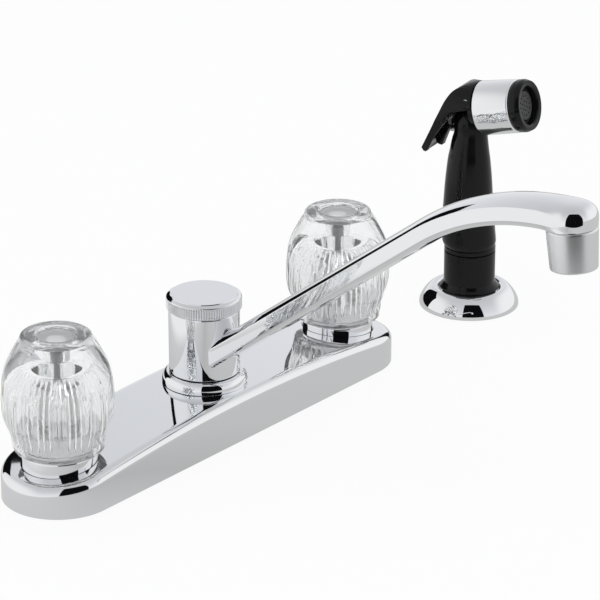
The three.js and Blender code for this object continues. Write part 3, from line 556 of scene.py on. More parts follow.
def knob_radius(height):
    """Radius of the knob's ridges at a height over its foot: a smooth curve through the profile."""
    rows = [KNOB_PROFILE[0]] + KNOB_PROFILE + [KNOB_PROFILE[-1]]
    for a, b, c, d in zip(rows, rows[1:], rows[2:], rows[3:]):
        if height <= c[1]:
            t = (height - b[1]) / (c[1] - b[1])
            slope_b = (c[0] - a[0]) / (c[1] - a[1]) * (c[1] - b[1])
            slope_c = (d[0] - b[0]) / (d[1] - b[1]) * (c[1] - b[1])
            return (
                (2 * t ** 3 - 3 * t ** 2 + 1) * b[0] + (t ** 3 - 2 * t ** 2 + t) * slope_b
                + (3 * t ** 2 - 2 * t ** 3) * c[0] + (t ** 3 - t ** 2) * slope_c
            )
    return KNOB_PROFILE[-1][0]


def petal_scoop(angle, z):
    """How far a petal is scooped in at an angle and height: none on the ridges between petals."""
    pitch = 2 * math.pi / PETALS
    from_middle = abs(angle - pitch * round(angle / pitch))
    rise = max(0.0, (z - PETAL_WIDE) / (PETAL_TIP - PETAL_WIDE))
    start = min(1.0, max(0.0, (z - PETAL_FROM) / 4))
    half_width = pitch / 2 * math.sqrt(max(0.0, 1 - rise * rise))
    if from_middle >= half_width:
        return 0.0
    depth = PETAL_DEPTH * start * min(1.0, half_width / pitch * 2)
    return depth * (1 - (from_middle / (pitch / 2)) ** 2)


def knob_surface():
    """One skin: up the petals, over the shoulder, down the wells and the stem bore, and out of the cavity."""
    steps = PETALS * 18
    rings = []

    def add_ring(z, radius):
        ring = []
        for i in range(steps):
            angle = 2 * math.pi * i / steps
            reach = radius(angle)
            ring.append((reach * math.cos(angle), reach * math.sin(angle), z))
        rings.append(ring)

    rows = 64
    rim = 0.7
    for x, z in arc(0, rim, rim, -90, 0, 4)[:-1]:
        add_ring(KNOB_FOOT + z, lambda angle, x=x: knob_radius(0) - rim + x)
    for i in range(rows + 1):
        height = rim + (KNOB_SHOULDER - rim) * i / rows
        z = KNOB_FOOT + height
        add_ring(z, lambda angle, h=height, z=z: knob_radius(h) - petal_scoop(angle, z))
    edge = KNOB_TOP - KNOB_FOOT - KNOB_SHOULDER
    shoulder_radius = knob_radius(KNOB_SHOULDER)
    for x, z in arc(shoulder_radius - edge, KNOB_FOOT + KNOB_SHOULDER, edge, 12, 90, 7):
        add_ring(z, lambda angle, x=x: x)
    wells = [
        (BUTTON_RADIUS + RUNNING_GAP, KNOB_TOP, 0.5),
        (BUTTON_RADIUS + RUNNING_GAP, BUTTON_FLOOR, 0.3),
        (SCREW_WELL, BUTTON_FLOOR, 0.3),
        (SCREW_WELL, SCREW_SEAT, 0.3),
        (SCREW_BORE, SCREW_SEAT),
        (SCREW_BORE, STEM_TOP),
        (STEM_BORE, STEM_TOP, 0.3),
        (STEM_BORE, BOSS_FROM, 0.3),
        (BOSS_RADIUS, BOSS_FROM, 0.3),
        (BOSS_RADIUS, CAVITY_TOP, 0.8),
        (CAVITY_RADIUS * CAVITY_SHAPE[-1][1], CAVITY_TOP),
    ]
    for r, z in rounded(wells, closed=False, steps=3):
        add_ring(z, lambda angle, r=r: r)
    inside = smooth_rows(CAVITY_SHAPE, 8)
    for z, share in reversed(inside):
        fade = min(1.0, max(0.0, (z - CAVITY_FLOOR) / 3)) * min(1.0, (CAVITY_TOP - z) / 2)

        def fluted(angle, fade=fade, share=share):
            return CAVITY_RADIUS * share - RIB_DEPTH * fade * (0.5 + 0.5 * math.cos(RIBS * angle))

        add_ring(z, fluted)
    add_ring(KNOB_FOOT, lambda angle: CAVITY_RADIUS)
    return skin(rings, loop=True)


def valve(side, name):
    """Everything of one handle, from the collar on the plate to the button on top."""
    place = Matrix.Translation((side * VALVE_X, 0, 0))
    collar = [
        (13.3, 12.2), (COLLAR_RADIUS, 12.2), (COLLAR_RADIUS, COLLAR_TOP, 1.5), (13.3, COLLAR_TOP, 0.2),
    ]
    turned(f"valve_collar_{name}", collar, place=place, fillet_steps=6)
    bonnet = [
        (9.6, 14), (12.95, 14), (12.95, COLLAR_TOP), (BONNET_RADIUS, COLLAR_TOP, 0.3),
        (BONNET_RADIUS, BONNET_TOP, 1.2), (9.0, BONNET_TOP, 0.4), (8.4, BONNET_TOP - 1, 0.3),
        (5.4, BONNET_TOP - 1), (5.4, BONNET_TOP - 5), (9.6, BONNET_TOP - 8),
    ]
    turned(f"bonnet_{name}", bonnet, place=place, material=BONNET_CHROME)

    def spline(angle, r, z):
        toothed = z > 38.1 and r > 4
        return r - (0.3 - 0.3 * math.cos(12 * angle) if toothed else 0)

    stem = [
        (0, 9.1), (9.2, 9.1, 0.3), (9.2, 16, 0.3), (5.1, 19, 0.5), (5.1, 38, 0.2), (4.5, 38.2),
        (4.5, 55.4, 0.1), (3.9, STEM_TOP, 0.1), (SCREW_BORE, STEM_TOP), (SCREW_BORE, 49), (0, 49),
    ]
    turned(f"valve_stem_{name}", stem, steps=144, place=place, radius=spline)
    screw_top = SCREW_SEAT + 3.5
    screw = [
        (0, 50), (1.2, 50), (1.65, 50.6), (1.65, SCREW_SEAT), (3.9, SCREW_SEAT, 0.2),
        (3.9, screw_top - 0.9, 0.5), (2.9, screw_top, 0.3), (0, screw_top),
    ]
    piece = mesh_object("screw", lathe(rounded(screw, closed=False), 64), place)
    for turn in (20, 110):
        slot = slab(4.6, 0.9, 3.0)
        tool = mesh_object("slot", slot, place @ Matrix.Translation((0, 0, screw_top))
                           @ Matrix.Rotation(math.radians(turn), 4, "Z"))
        combine(piece, tool, "DIFFERENCE")
    piece.name = f"handle_screw_{name}_smooth"
    dress(piece, f"handle_screw_{name}", DARK_STEEL)
    dress(mesh_object(f"knob_{name}_smooth", knob_surface(), place, sharp=50.0), f"knob_{name}")
    button_top = BUTTON_FLOOR + 3.4
    button = [
        (0, BUTTON_FLOOR), (BUTTON_RADIUS, BUTTON_FLOOR, 0.3), (BUTTON_RADIUS, button_top, 0.8),
        (8.2, button_top, 0.3), (7.9, button_top - 0.3, 0.3), (0, button_top - 0.3),
    ]
    turned(f"index_button_{name}", button, steps=96, place=place)


def slab(length, width, height):
    """A box about the origin, as rings for skin()."""
    rings = []
    for z in (-height / 2, height / 2):
        corners = [(-1, -1), (1, -1), (1, 1), (-1, 1)]
        rings.append([(x * length / 2, y * width / 2, z) for x, y in corners])
    return skin(rings, start="fan", end="fan")


# ---------------------------------------------------------------- column and cap
def hub_ring():
    flank = PLATE_CROWN + 0.9
    top = PLATE_CROWN + HUB_RING_HEIGHT
    rows = []
    for i in range(25):
        angle = math.pi / 2 * i / 24
        rows.append((
            HUB_RING_SHOULDER + (HUB_RING_RADIUS - HUB_RING_SHOULDER) * math.cos(angle),
            flank + (top - flank) * math.sin(angle),
        ))
    outline = [(14.4, PLATE_CROWN), (HUB_RING_RADIUS, PLATE_CROWN, 0.2), *rows, (14.4, top)]
    turned("hub_ring", outline, steps=192)


def spout_cap():
    """Crowned cap over a knurled band, its grooves round-bottomed and run out at both ends."""
    under = COLUMN_TOP + RUNNING_GAP
    top = CAP_TOP
    depth = 0.8

    def knurl(angle, r, z):
        inside = min(1.0, max(0.0, (z - under) / 0.5)) * min(1.0, max(0.0, (KNURL_TOP - z) / 1.2))
        if r < CAP_RADIUS - 0.7:
            return r
        wave = abs(math.cos(CAP_TEETH * angle / 2))
        return r - depth * inside * (1 - wave)

    band = [(CAP_RADIUS, under + (KNURL_TOP - under) * i / 16) for i in range(1, 15)]
    foot, brow = (CAP_RADIUS, KNURL_TOP - 0.6), (16.25, top - 0.45)
    shoulder = bezier(foot, (CAP_RADIUS, KNURL_TOP), (17.6, KNURL_TOP + 0.3), brow, 10)
    disc = [(16.1, top - 0.4), (15.95, top - 0.06), (15.7, top), (15.1, top), (0, top)]
    corners = [(0, under), (CAP_RADIUS - 0.5, under, 0.2), *band, *shoulder, *disc]
    turned("spout_cap", corners, steps=CAP_TEETH * 8, radius=knurl)


# ---------------------------------------------------------------- spout
def lerp(a, b, share):
    return a + (b - a) * share


def arm_section(half_width, crown, depth, roll):
    """Closed section of the arm as (across, up) from its crease: a dome over flat sides and a chamfered
    underside. roll goes from 0, a crisp crease, to 1, a full round shoulder."""
    rise = max(crown, 0.05)
    dome_radius = (half_width ** 2 + rise ** 2) / (2 * rise)
    share = half_width / ARM_HALF
    flat = half_width * 0.985
    under = half_width * lerp(ARM_UNDER / ARM_HALF, 0.985, roll)
    knee = ((2 * flat + under) / 3, -(ARM_SIDE + depth) / 2)
    dome_steps = 14
    crisp = []
    for i in range(dome_steps + 1):
        across = half_width * i / dome_steps
        up = math.sqrt(max(0.0, dome_radius ** 2 - across ** 2)) - dome_radius + crown
        crisp.append((across, up))
    crisp[-1] += (0.7 * share,)
    low = [(flat, -ARM_SIDE, 1.6 * share * (1 - roll)), (*knee, 1.0 * share), (under, -depth, 1.2 * share)]
    half = rounded(crisp + low + [(0, -depth)], closed=False, steps=5)[:-1]
    shoulder_count = dome_steps + 6
    for i in range(shoulder_count):
        angle = math.pi / 2 * i / (shoulder_count - 1)
        across = half_width * math.sin(angle) ** (2 / NOSE_FULLNESS)
        up = (crown + NOSE_SHOULDER) * max(0.0, math.cos(angle)) ** (2 / NOSE_FULLNESS) - NOSE_SHOULDER
        half[i] = (lerp(half[i][0], across, roll), lerp(half[i][1], up, roll))
    return half + [(-x, y) for x, y in reversed(half[1:])]


def arm_stations():
    """Rows of (distance from the column, crease height, rise, half width, crown) along the arm."""
    rows = []
    for i in range(29):
        y = 3 + (ARM_STRAIGHT - 3) * (i / 28) ** 1.6
        rows.append((y, ARM_ROOT_Z + y * math.tan(ARM_RISE), ARM_RISE, ARM_HALF, ARM_DOME))
    bend_steps = 60
    for i in range(1, bend_steps + 1):
        angle = ARM_RISE * (1 - i / bend_steps)
        y = SPOUT_REACH - ARM_BEND * math.sin(angle)
        rows.append((y, NOSE_LEVEL - ARM_BEND * (1 - math.cos(angle)), angle, ARM_HALF, ARM_DOME))
    nose_steps = 30
    for i in range(1, nose_steps + 1):
        turn = math.radians(88) * i / nose_steps
        fall = (1 - math.sin(turn) ** NOSE_FULLNESS) ** (1 / NOSE_FULLNESS)
        crown = (ARM_DOME + NOSE_SHOULDER) * fall - NOSE_SHOULDER
        y = SPOUT_REACH + NOSE_REACH * math.sin(turn)
        rows.append((y, NOSE_LEVEL, 0, ARM_HALF * math.cos(turn), crown))
    return rows


def arm_surface():
    rings = []
    for y, z, rise, half_width, crown in arm_stations():
        bent = min(1.0, max(0.0, (y - ARM_STRAIGHT) / (SPOUT_REACH - ARM_STRAIGHT)))
        depth = lerp(ARM_DEPTH, NOSE_DEPTH, bent ** 2)
        t = min(1.0, max(0.0, (y - SPOUT_REACH + NOSE_ROLL) / NOSE_ROLL))
        ring = []
        for across, up in arm_section(half_width, crown, depth, t * t * (3 - 2 * t)):
            ring.append((across, -(y - up * math.sin(rise)), z + up * math.cos(rise)))
        rings.append(ring)
    return skin(rings, start="fan", end="fan")


def at_outlet():
    """Placement of what is built about Z with the outlet's floor at z = 0."""
    return Matrix.Translation((0, -SPOUT_REACH, NOSE_FLOOR)) @ Matrix.Rotation(-OUTLET_TILT, 4, "X")


def spout():
    floor = PLATE_CROWN + HUB_RING_HEIGHT + RUNNING_GAP
    corners = [
        (0, floor), (COLUMN_RADIUS, floor, 0.8), (COLUMN_RADIUS, COLUMN_TOP, 0.8), (0, COLUMN_TOP),
    ]
    barrel = mesh_object("spout_smooth", lathe(rounded(corners, closed=False), 192))
    arm = mesh_object("arm", arm_surface(), sharp=40.0)
    combine(barrel, arm, "UNION")
    seat = [(0, -6), (ARM_HALF + 1, -6), (ARM_HALF + 1, 0), (0, 0)]
    combine(barrel, mesh_object("seat", lathe(seat), at_outlet()), "DIFFERENCE")
    bore = [(0, floor - 1), (COLUMN_BORE, floor - 1), (COLUMN_BORE, COLUMN_TOP + 1), (0, COLUMN_TOP + 1)]
    combine(barrel, mesh_object("bore", lathe(bore)), "DIFFERENCE")
    outlet = [(0, -1), (OUTLET_RADIUS, -1), (OUTLET_RADIUS, 6), (0, 6)]
    combine(barrel, mesh_object("outlet", lathe(outlet), at_outlet()), "DIFFERENCE")
    dress(barrel, "spout")


def aerator():
    top = -RUNNING_GAP
    bottom = top - AERATOR_HEIGHT
    inner = AERATOR_BOTTOM_RADIUS - 1.5
    shell = [
        (7.4, top + 5), (7.4, bottom + 12), (inner, bottom + 10.5), (inner, bottom, 0.3),
        (AERATOR_BOTTOM_RADIUS - 0.1, bottom, 0.6), (AERATOR_BOTTOM_RADIUS, bottom + 0.6, 0.3),
        (AERATOR_TOP_RADIUS, top - 0.8, 0.5), (AERATOR_TOP_RADIUS - 0.6, top, 0.3),
        (8.9, top), (8.9, top + 5),
    ]
    turned("aerator_shell", shell, place=at_outlet(), material=SATIN_CHROME)
    lip = bottom + 1
    insert = mesh_object("aerator_insert_smooth", lathe(rounded([
        (0, lip), (inner - 0.05, lip, 0.3), (inner - 0.05, lip + 7), (0, lip + 7),
    ], closed=False), 96), at_outlet())
    hole = lathe([(0, lip - 1), (1, lip - 1), (1, lip + 2.5), (0, lip + 2.5)], 24)
    pierce(insert, hole, at_outlet(), ((6, 3.3), (10, 6.5)))
    dress(insert, "aerator_insert")


# ---------------------------------------------------------------- side spray
SPRAY_PLACE = Matrix.Translation((SPRAY_X, SPRAY_Y, 0)) @ Matrix.Rotation(SPRAY_HEADING, 4, "Z")


def on_spray(z, lean):
    """Placement whose Z axis leans by an angle from upright towards the nozzle, z up the spray's axis."""
    return SPRAY_PLACE @ Matrix.Translation((0, 0, z)) @ Matrix.Rotation(lean, 4, "Y")


PLUNGER_PLACE = on_spray(PLUNGER_Z, math.pi / 2)
HEAD_PLACE = on_spray(HEAD_Z, math.pi / 2 - HEAD_TILT)


def spray_holder():
    flange_radius = 25.8
    crown = bezier((flange_radius, 1.4), (flange_radius, 3.4), (22.0, 10.0), (18.5, 10.4), 24)
    flange = [
        (14.9, 8, 0.4), (14.9, 5.4), (20.3, 5), (23.5, 1.4), (23.5, 0), (flange_radius, 0, 0.3),
        *crown, (16.9, 10.1, 1.0), (15.5, 8.8, 0.8),
    ]
    turned("spray_flange", flange, place=SPRAY_PLACE, steps=160, fillet_steps=6)


def spray_coupling():
    seat = 8.9
    collar = [
        (7.5, -8, 0.3), (9.0, -8, 0.3), (10.2, -5), (10.2, 7.2), (13.0, 7.2, 0.5), (14.4, seat, 0.3),
        (15.4, 9.3, 0.4), (15.4, 10.4, 0.5), (14.4, 11.4, 0.8), (13.3, 13, 0.8), (13.3, 29.8, 0.35),
        (10.0, 29.8), (10.0, 37.8), (7.5, 37.8),
    ]
    turned("spray_collar", collar, place=SPRAY_PLACE)


def smooth_rows(rows, per_span=6):
    """More rows on a smooth curve through rows of numbers, the first of which is the height."""
    dense = []
    padded = [rows[0]] + rows + [rows[-1]]
    for a, b, c, d in zip(padded, padded[1:], padded[2:], padded[3:]):
        for i in range(per_span):
            t = i / per_span
            dense.append(tuple(
                0.5 * (2 * q + (r - p) * t + (2 * p - 5 * q + 4 * r - s) * t ** 2
                       + (3 * q - p - 3 * r + s) * t ** 3)
                for p, q, r, s in zip(a, b, c, d)
            ))
    return dense + [rows[-1]]


def spray_handle():
    """Grip of round sections that narrows to the neck, and the core that carries the chromed shell."""
    groove = [(30.1, 0, 12.85), (30.45, 0, 13.3), (32.25, 0, 13.3), (32.6, 0, 12.85)]
    grip = [
        (32.9, -0.1, 13.15), (33.4, -0.3, 13.4), (35.6, -0.6, 13.95), (40.6, -1.05, 13.9), (48, -1.3, 13.45),
        (57, -1.5, 12.8), (68, -1.5, 12.1), (79, -1.5, 11), (84, -1.4, 10.2), (90, -1.2, 9.3),
        (94.5, -0.8, 8.5), (98.5, -1.2, 8.4), (102, -1.6, 8.1), (105, -1.5, 7.1), (106.5, -1.2, 5.8),
    ]
    rings = []
    for z, s, radius in groove + smooth_rows(grip):
        rings.append([
            (s + radius * math.cos(2 * math.pi * i / 96), radius * math.sin(2 * math.pi * i / 96), z)
            for i in range(96)
        ])
    handle = mesh_object("spray_handle_smooth", skin(rings, start="fan", end="fan"), SPRAY_PLACE)
    inner = LEVER_HALF - LEVER_WALL - 0.5
    core = [
        (0, -4.5), (4.5, -4, 3), (8, -1.5, 2), (inner - 0.6, 2, 1.5), (inner, 4.5, 1), (inner, 6.6),
        (12.5, 7.2, 0.3), (12.1, 23.6), (0, 23.6),
    ]
    core = mesh_object("core", lathe(rounded(core, closed=False), 96), HEAD_PLACE)
    combine(handle, core, "UNION")
    socket = [(0, 29.1), (10.3, 29.1), (10.3, 38.4), (0, 38.4)]
    combine(handle, mesh_object("socket", lathe(socket), SPRAY_PLACE), "DIFFERENCE")
    pin_bore = across_at_pin("pin_bore", PIN_RADIUS + RUNNING_GAP, LEVER_HALF)
    combine(handle, pin_bore, "DIFFERENCE")
    plunger_bore = lathe([(0, -24), (2.1, -24), (2.1, -1), (0, -1)], 32)
    combine(handle, mesh_object("plunger_bore", plunger_bore, PLUNGER_PLACE), "DIFFERENCE")
    dress(handle, "spray_handle")


def spray_head():
    shell = [
        (12.8, 6.6), (HEAD_RADIUS, 6.6, 0.5), (HEAD_RADIUS - 0.35, 26.0, 0.5), (13.0, 26.6, 0.35),
        (12.2, 26.6, 0.2), (12.2, 24.6), (12.8, 9.6),
    ]
    turned("spray_shell", shell, place=HEAD_PLACE, steps=160)
    nozzle = [
        (0, 23.65), (11.1, 23.65), (11.1, 26.8), (12.9, 26.8, 0.3), (13.5, 27.8, 0.4),
        (13.5, 30.6, 0.4), (12.6, 32.9, 0.3), (10.2, 32.5, 0.3), (9.7, 31.9, 0.3), (9.2, 28.8, 0.3),
        (0, 28.8),
    ]
    turned("spray_nozzle", nozzle, place=HEAD_PLACE, steps=160)
    screen = mesh_object("spray_face_smooth", lathe(rounded([
        (0, 28.85), (7.4, 28.85), (7.4, 30.15, 0.3), (6.6, 30.15, 0.1), (6.4, 29.95, 0.1), (0, 29.95),
    ], closed=False), 96), HEAD_PLACE)
    hole = lathe([(0, 29.45), (0.5, 29.45), (0.5, 31), (0, 31)], 16)
    pierce(screen, hole, HEAD_PLACE, ((12, 5.0), (6, 2.4), (1, 0.0)))
    dress(screen, "spray_face")


def across_at_pin(name, radius, half):
    """A cylinder across the head, about the lever's pivot."""
    place = SPRAY_PLACE @ Matrix.Translation((PIN_S, 0, PIN_Z)) @ Matrix.Rotation(math.pi / 2, 4, "X")
    return mesh_object(name, lathe([(0, -half), (radius, -half), (radius, half), (0, half)], 32), place)


def beside_head(shares):
    """Points of the lever's side view, given in shares of the head's radius."""
    return [(s * HEAD_RADIUS, HEAD_Z + z * HEAD_RADIUS) for s, z in shares]


LEVER_OUTER = beside_head([
    (0.4, 1.07), (0, 1.036), (-0.33, 0.893), (-0.57, 0.679), (-0.98, -0.15), (-1.19, -0.58), (-1.74, -1.586),
])
LEVER_INNER = beside_head([
    (-1.51, -1.686), (-1.17, -1.08), (-0.81, -0.557), (-0.4, -0.086), (-0.14, 0.129), (0.39, 0.257),
])


def extruded(name, outline, half, sideways=False):
    """A flat outline of the lever, drawn from the side or from behind, made thick both ways."""
    rings = []
    for across in (-half, half):
        rings.append([(across, x, z) if sideways else (x, across, z) for x, z in outline])
    points = [point for ring in rings for point in ring]
    count = len(outline)
    faces = [tuple(range(count)), tuple(range(count, 2 * count))]
    faces += [(i, (i + 1) % count, count + (i + 1) % count, count + i) for i in range(count)]
    return mesh_object(name, (points, faces), SPRAY_PLACE)


def lever_blank(name, inset, open_below):
    outer = smooth_rows(LEVER_OUTER)
    outline = []
    for i, (x, z) in enumerate(outer):
        after, before = outer[min(i + 1, len(outer) - 1)], outer[max(i - 1, 0)]
        normal = Vector((after[1] - before[1], before[0] - after[0])).normalized()
        outline.append((x + normal.x * inset, z + normal.y * inset))
    if open_below:
        below = beside_head([(-1.7, -2.6), (-0.57, -2.6), (0.57, -0.76), (0.57, 0.8)])
    else:
        below = beside_head([(-1.68, -1.71), (-1.59, -1.74)]) + smooth_rows(LEVER_INNER)
    return extruded(name, outline + below, HEAD_RADIUS * 1.5)


def lever_width(name, inset):
    """Seen from behind: round like the head at the top, drawn in towards the finger end."""
    wide = LEVER_HALF - inset
    tip = LEVER_TIP_HALF - inset
    low, tip_z, wide_z = (HEAD_Z + share * HEAD_RADIUS for share in (-3.3, -1.76, -0.4))
    crown = arc(0, HEAD_Z + 1, HEAD_RADIUS - inset, 20, 160, 36)
    right = [(tip, low), (tip, tip_z), (wide, wide_z, 6)]
    left = [(-wide, wide_z, 6), (-tip, tip_z), (-tip, low)]
    return extruded(name, rounded(right + crown + left), HEAD_RADIUS * 2.5, sideways=True)


def soften(piece, width):
    """Round the crisp edges of a piece."""
    modifier = piece.modifiers.new("soften", "BEVEL")
    modifier.width = width * MM
    modifier.segments = 3
    modifier.limit_method = "ANGLE"
    modifier.angle_limit = math.radians(40)
    graph = bpy.context.evaluated_depsgraph_get()
    mesh = bpy.data.meshes.new_from_object(piece.evaluated_get(graph))
    piece.modifiers.clear()
    piece.data = mesh
    mesh.shade_smooth()
    mesh.set_sharp_from_angle(angle=math.radians(50))
    return piece


def spray_trigger():
    lever = lever_blank("spray_trigger_smooth", 0, False)
    combine(lever, lever_width("width", 0), "INTERSECT")
    channel = lever_blank("channel", -LEVER_WALL, True)
    combine(channel, lever_width("width", LEVER_WALL), "INTERSECT")
    combine(lever, channel, "DIFFERENCE")
    rim = [(0, 6.0), (18.2, 6.0), (18.2, 26.6), (0, 26.6)]
    combine(lever, mesh_object("rim", lathe(rim), HEAD_PLACE), "DIFFERENCE")
    soften(lever, 0.5)
    front = PLUNGER_TIP - RUNNING_GAP
    rib = beside_head([(-1.47, -1.22), (-1.39, -1.49), (-1.27, -1.56), (-1.16, -1.56), (-1.01, -1.16)])
    rib += [(front, PLUNGER_Z), (front - 0.4, PLUNGER_Z + 3.5)] + beside_head([(-0.96, -0.25)])
    combine(lever, extruded("rib", rib, 1.7), "UNION")
    pin_half = LEVER_HALF - LEVER_WALL + 0.9
    combine(lever, across_at_pin("bore", PIN_RADIUS + 0.1, pin_half + 0.1), "DIFFERENCE")
    dress(lever, "spray_trigger")
    dress(across_at_pin("trigger_pin_smooth", PIN_RADIUS, pin_half), "trigger_pin")
    tip = PLUNGER_TIP
    plunger = [(0, tip), (1.8, tip, 0.4), (1.8, tip + 7.8), (0, tip + 7.8)]
    turned("spray_plunger", plunger, steps=48, place=PLUNGER_PLACE)


# ---------------------------------------------------------------- assembly
deck_plate()
for side, name in ((-1, "left"), (1, "right")):
    valve(side, name)
hub_ring()
spout_cap()
spout()
aerator()
spray_holder()
spray_coupling()
spray_handle()
spray_head()
spray_trigger()

for node, cad_object in frame["nodes"].items():
    if cad_object.hide_render:
        continue
    cad_object.data.materials.clear()
    cad_object.data.materials.append(MATERIALS[NODE_SLOTS[node]])


# ---------------------------------------------------------------- stage and light
def emission(nodes, shade):
    glow = nodes.new("ShaderNodeEmission")
    glow.inputs["Color"].default_value = (*shade, 1)
    return glow


def ramp(nodes, stops):
    """A colour ramp through (position, colour) stops."""
    made = nodes.new("ShaderNodeValToRGB")
    elements = made.color_ramp.elements
    elements.remove(elements[1])
    elements[0].position, elements[0].color = stops[0][0], (*stops[0][1], 1)
    for position, color in stops[1:]:
        elements.new(position).color = (*color, 1)
    return made


def choose(material, base, choices):
    """A shader that is base, except to the kinds of ray named in choices, as (kind, share, shader)."""
    nodes, links = material.node_tree.nodes, material.node_tree.links
    path = nodes.new("ShaderNodeLightPath")
    result = base
    for kind, share, shader in choices:
        factor = nodes.new("ShaderNodeMath")
        factor.operation = "MULTIPLY"
        factor.inputs[1].default_value = share
        mix = nodes.new("ShaderNodeMixShader")
        links.new(path.outputs[kind], factor.inputs[0])
        links.new(factor.outputs["Value"], mix.inputs["Fac"])
        links.new(result, mix.inputs[1])
        links.new(shader, mix.inputs[2])
        result = mix.outputs["Shader"]
    return result


def card(name, size, centre, towards, shade):
    """A flat studio card, size metres wide and high, that only mirrors see."""
    mesh = bpy.data.meshes.new(name)
    half_w, half_h = size[0] / 2, size[1] / 2
    corners = [(-half_w, -half_h, 0), (half_w, -half_h, 0), (half_w, half_h, 0), (-half_w, half_h, 0)]
    mesh.from_pydata(corners, [], [(0, 1, 2, 3)])
    made = bpy.data.materials.new(name)
    made.use_nodes = True
    nodes, links = made.node_tree.nodes, made.node_tree.links
    nodes.clear()
    output = nodes.new("ShaderNodeOutputMaterial")
    links.new(emission(nodes, shade).outputs["Emission"], output.inputs["Surface"])
    mesh.materials.append(made)
    panel = bpy.data.objects.new(name, mesh)
    panel.location = centre
    panel.rotation_euler = (Vector(towards) - Vector(centre)).to_track_quat("Z", "Y").to_euler()
    panel.visible_camera = False
    panel.visible_diffuse = False
    panel.visible_transmission = False
    panel.visible_shadow = False
    bpy.context.collection.objects.link(panel)
    return panel


def floor():
    """White paper. Mirrors see it as a painted reflection, a glow of painted light and shade: brightest at
    the back left and greyest, in painted shade, in the middle.
    """
    mesh = bpy.data.meshes.new("floor")
    reach = 8.0
    corners = [(-reach, -reach, 0), (reach, -reach, 0), (reach, reach, 0), (-reach, reach, 0)]
    mesh.from_pydata(corners, [], [(0, 1, 2, 3)])
    made = bpy.data.materials.new("floor")
    made.use_nodes = True
    nodes, links = made.node_tree.nodes, made.node_tree.links
    nodes.clear()
    matt = nodes.new("ShaderNodeBsdfDiffuse")
    matt.inputs["Color"].default_value = (0.9, 0.9, 0.9, 1)
    place = nodes.new("ShaderNodeTexCoord")
    across = nodes.new("ShaderNodeMapping")
    across.vector_type = "POINT"
    across.inputs["Rotation"].default_value = (0, 0, math.radians(-45))
    across.inputs["Scale"].default_value = (-2.8, 2.8, 1)
    across.inputs["Location"].default_value = (0.5, 0, 0)
    gradient = nodes.new("ShaderNodeTexGradient")
    links.new(place.outputs["Object"], across.inputs["Vector"])
    links.new(across.outputs["Vector"], gradient.inputs["Vector"])
    # Painted reflection: this ramp paints the floor's light and shade for mirrors, with painted shade in its
    # grey middle band.
    painted_floor_reflection = ramp(nodes, [
        (0.0, (0.62, 0.62, 0.615)), (0.4, (0.58, 0.58, 0.575)), (0.53, (0.51, 0.51, 0.505)),
        (0.63, (0.59, 0.59, 0.59)), (0.83, (0.67, 0.67, 0.67)), (0.95, (0.88, 0.88, 0.88)),
        (1.0, (0.93, 0.93, 0.93)),
    ])
    links.new(gradient.outputs["Fac"], painted_floor_reflection.inputs["Fac"])
    painted_reflection_glow = nodes.new("ShaderNodeEmission")
    links.new(painted_floor_reflection.outputs["Color"], painted_reflection_glow.inputs["Color"])
    output = nodes.new("ShaderNodeOutputMaterial")
    links.new(choose(made, matt.outputs["BSDF"], [
        ("Is Glossy Ray", 1.0, painted_reflection_glow.outputs["Emission"]),
        ("Is Transmission Ray", 1.0, emission(nodes, (0.97, 0.975, 0.98)).outputs["Emission"]),
        ("Is Camera Ray", 0.9, emission(nodes, (1, 1, 1)).outputs["Emission"]),
    ]), output.inputs["Surface"])
    mesh.materials.append(made)
    plane = bpy.data.objects.new("floor", mesh)
    bpy.context.collection.objects.link(plane)


def background(nodes, shade):
    light = nodes.new("ShaderNodeBackground")
    light.inputs["Color"].default_value = (*shade, 1)
    return light


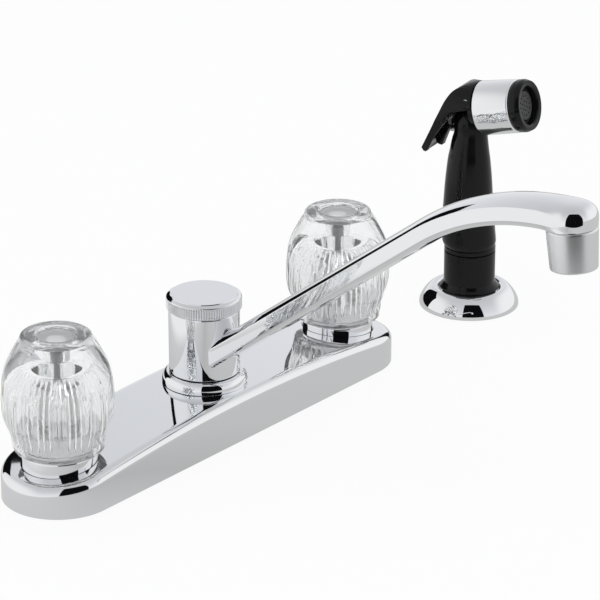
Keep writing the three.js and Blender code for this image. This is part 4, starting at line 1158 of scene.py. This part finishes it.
def world():
    """A white room: plain white to the camera and through the knobs, and to mirrors pale at the horizon,
    greyer overhead and brighter from two sides."""
    made = bpy.data.worlds.new("studio")
    bpy.context.scene.world = made
    made.use_nodes = True
    nodes, links = made.node_tree.nodes, made.node_tree.links
    nodes.clear()
    direction = nodes.new("ShaderNodeTexCoord")
    split = nodes.new("ShaderNodeSeparateXYZ")
    up = ramp(nodes, [
        (0.0, (0.88, 0.89, 0.9)), (0.37, (0.78, 0.79, 0.82)), (0.7, (0.66, 0.67, 0.685)),
        (1.0, (0.58, 0.58, 0.59)),
    ])
    sky = up.outputs["Color"]
    for towards, shade in (((0.88, -0.47, 0.1), 0.97), ((-0.6, 0.8, 0.1), 0.93)):
        along = nodes.new("ShaderNodeVectorMath")
        along.operation = "DOT_PRODUCT"
        along.inputs[1].default_value = towards
        spread = nodes.new("ShaderNodeMapRange")
        spread.interpolation_type = "SMOOTHSTEP"
        spread.inputs["From Min"].default_value = 0.6
        spread.inputs["From Max"].default_value = 0.95
        blend = nodes.new("ShaderNodeMix")
        blend.data_type = "RGBA"
        blend.inputs[7].default_value = (shade, shade, shade, 1)
        links.new(direction.outputs["Generated"], along.inputs[0])
        links.new(along.outputs["Value"], spread.inputs["Value"])
        links.new(spread.outputs["Result"], blend.inputs[0])
        links.new(sky, blend.inputs[6])
        sky = blend.outputs[2]
    mirrored = background(nodes, (1, 1, 1))
    output = nodes.new("ShaderNodeOutputWorld")
    links.new(direction.outputs["Generated"], split.inputs["Vector"])
    links.new(split.outputs["Z"], up.inputs["Fac"])
    links.new(sky, mirrored.inputs["Color"])
    links.new(choose(made, background(nodes, (0.85, 0.86, 0.87)).outputs["Background"], [
        ("Is Glossy Ray", 1.0, mirrored.outputs["Background"]),
        ("Is Transmission Ray", 1.0, background(nodes, (0.98, 0.985, 0.99)).outputs["Background"]),
        ("Is Camera Ray", 1.0, background(nodes, (1, 1, 1)).outputs["Background"]),
    ]), output.inputs["Surface"])


def softbox(name, size, location, power):
    data = bpy.data.lights.new(name, "AREA")
    data.shape = "SQUARE"
    data.size = size
    data.energy = power
    lamp = bpy.data.objects.new(name, data)
    lamp.location = location
    lamp.rotation_euler = (Vector((0.05, -0.05, 0.05)) - Vector(location)).to_track_quat("-Z", "Y").to_euler()
    lamp.visible_glossy = False
    bpy.context.collection.objects.link(lamp)


floor()
world()
softbox("key", 1.2, (-0.6, -0.9, 1.8), 6.0)
BLACK = (0.004, 0.004, 0.005)
card("front_flag", (0.62, 1.07), (-0.251, -0.514, 0.535), (0.344, -0.032, 0.535), BLACK)
card("back_flag", (0.43, 0.46), (0.15, 0.57, 0.23), (-0.06, -0.03, 0.23), BLACK)

view = bpy.context.scene.view_settings
view.view_transform = "Standard"
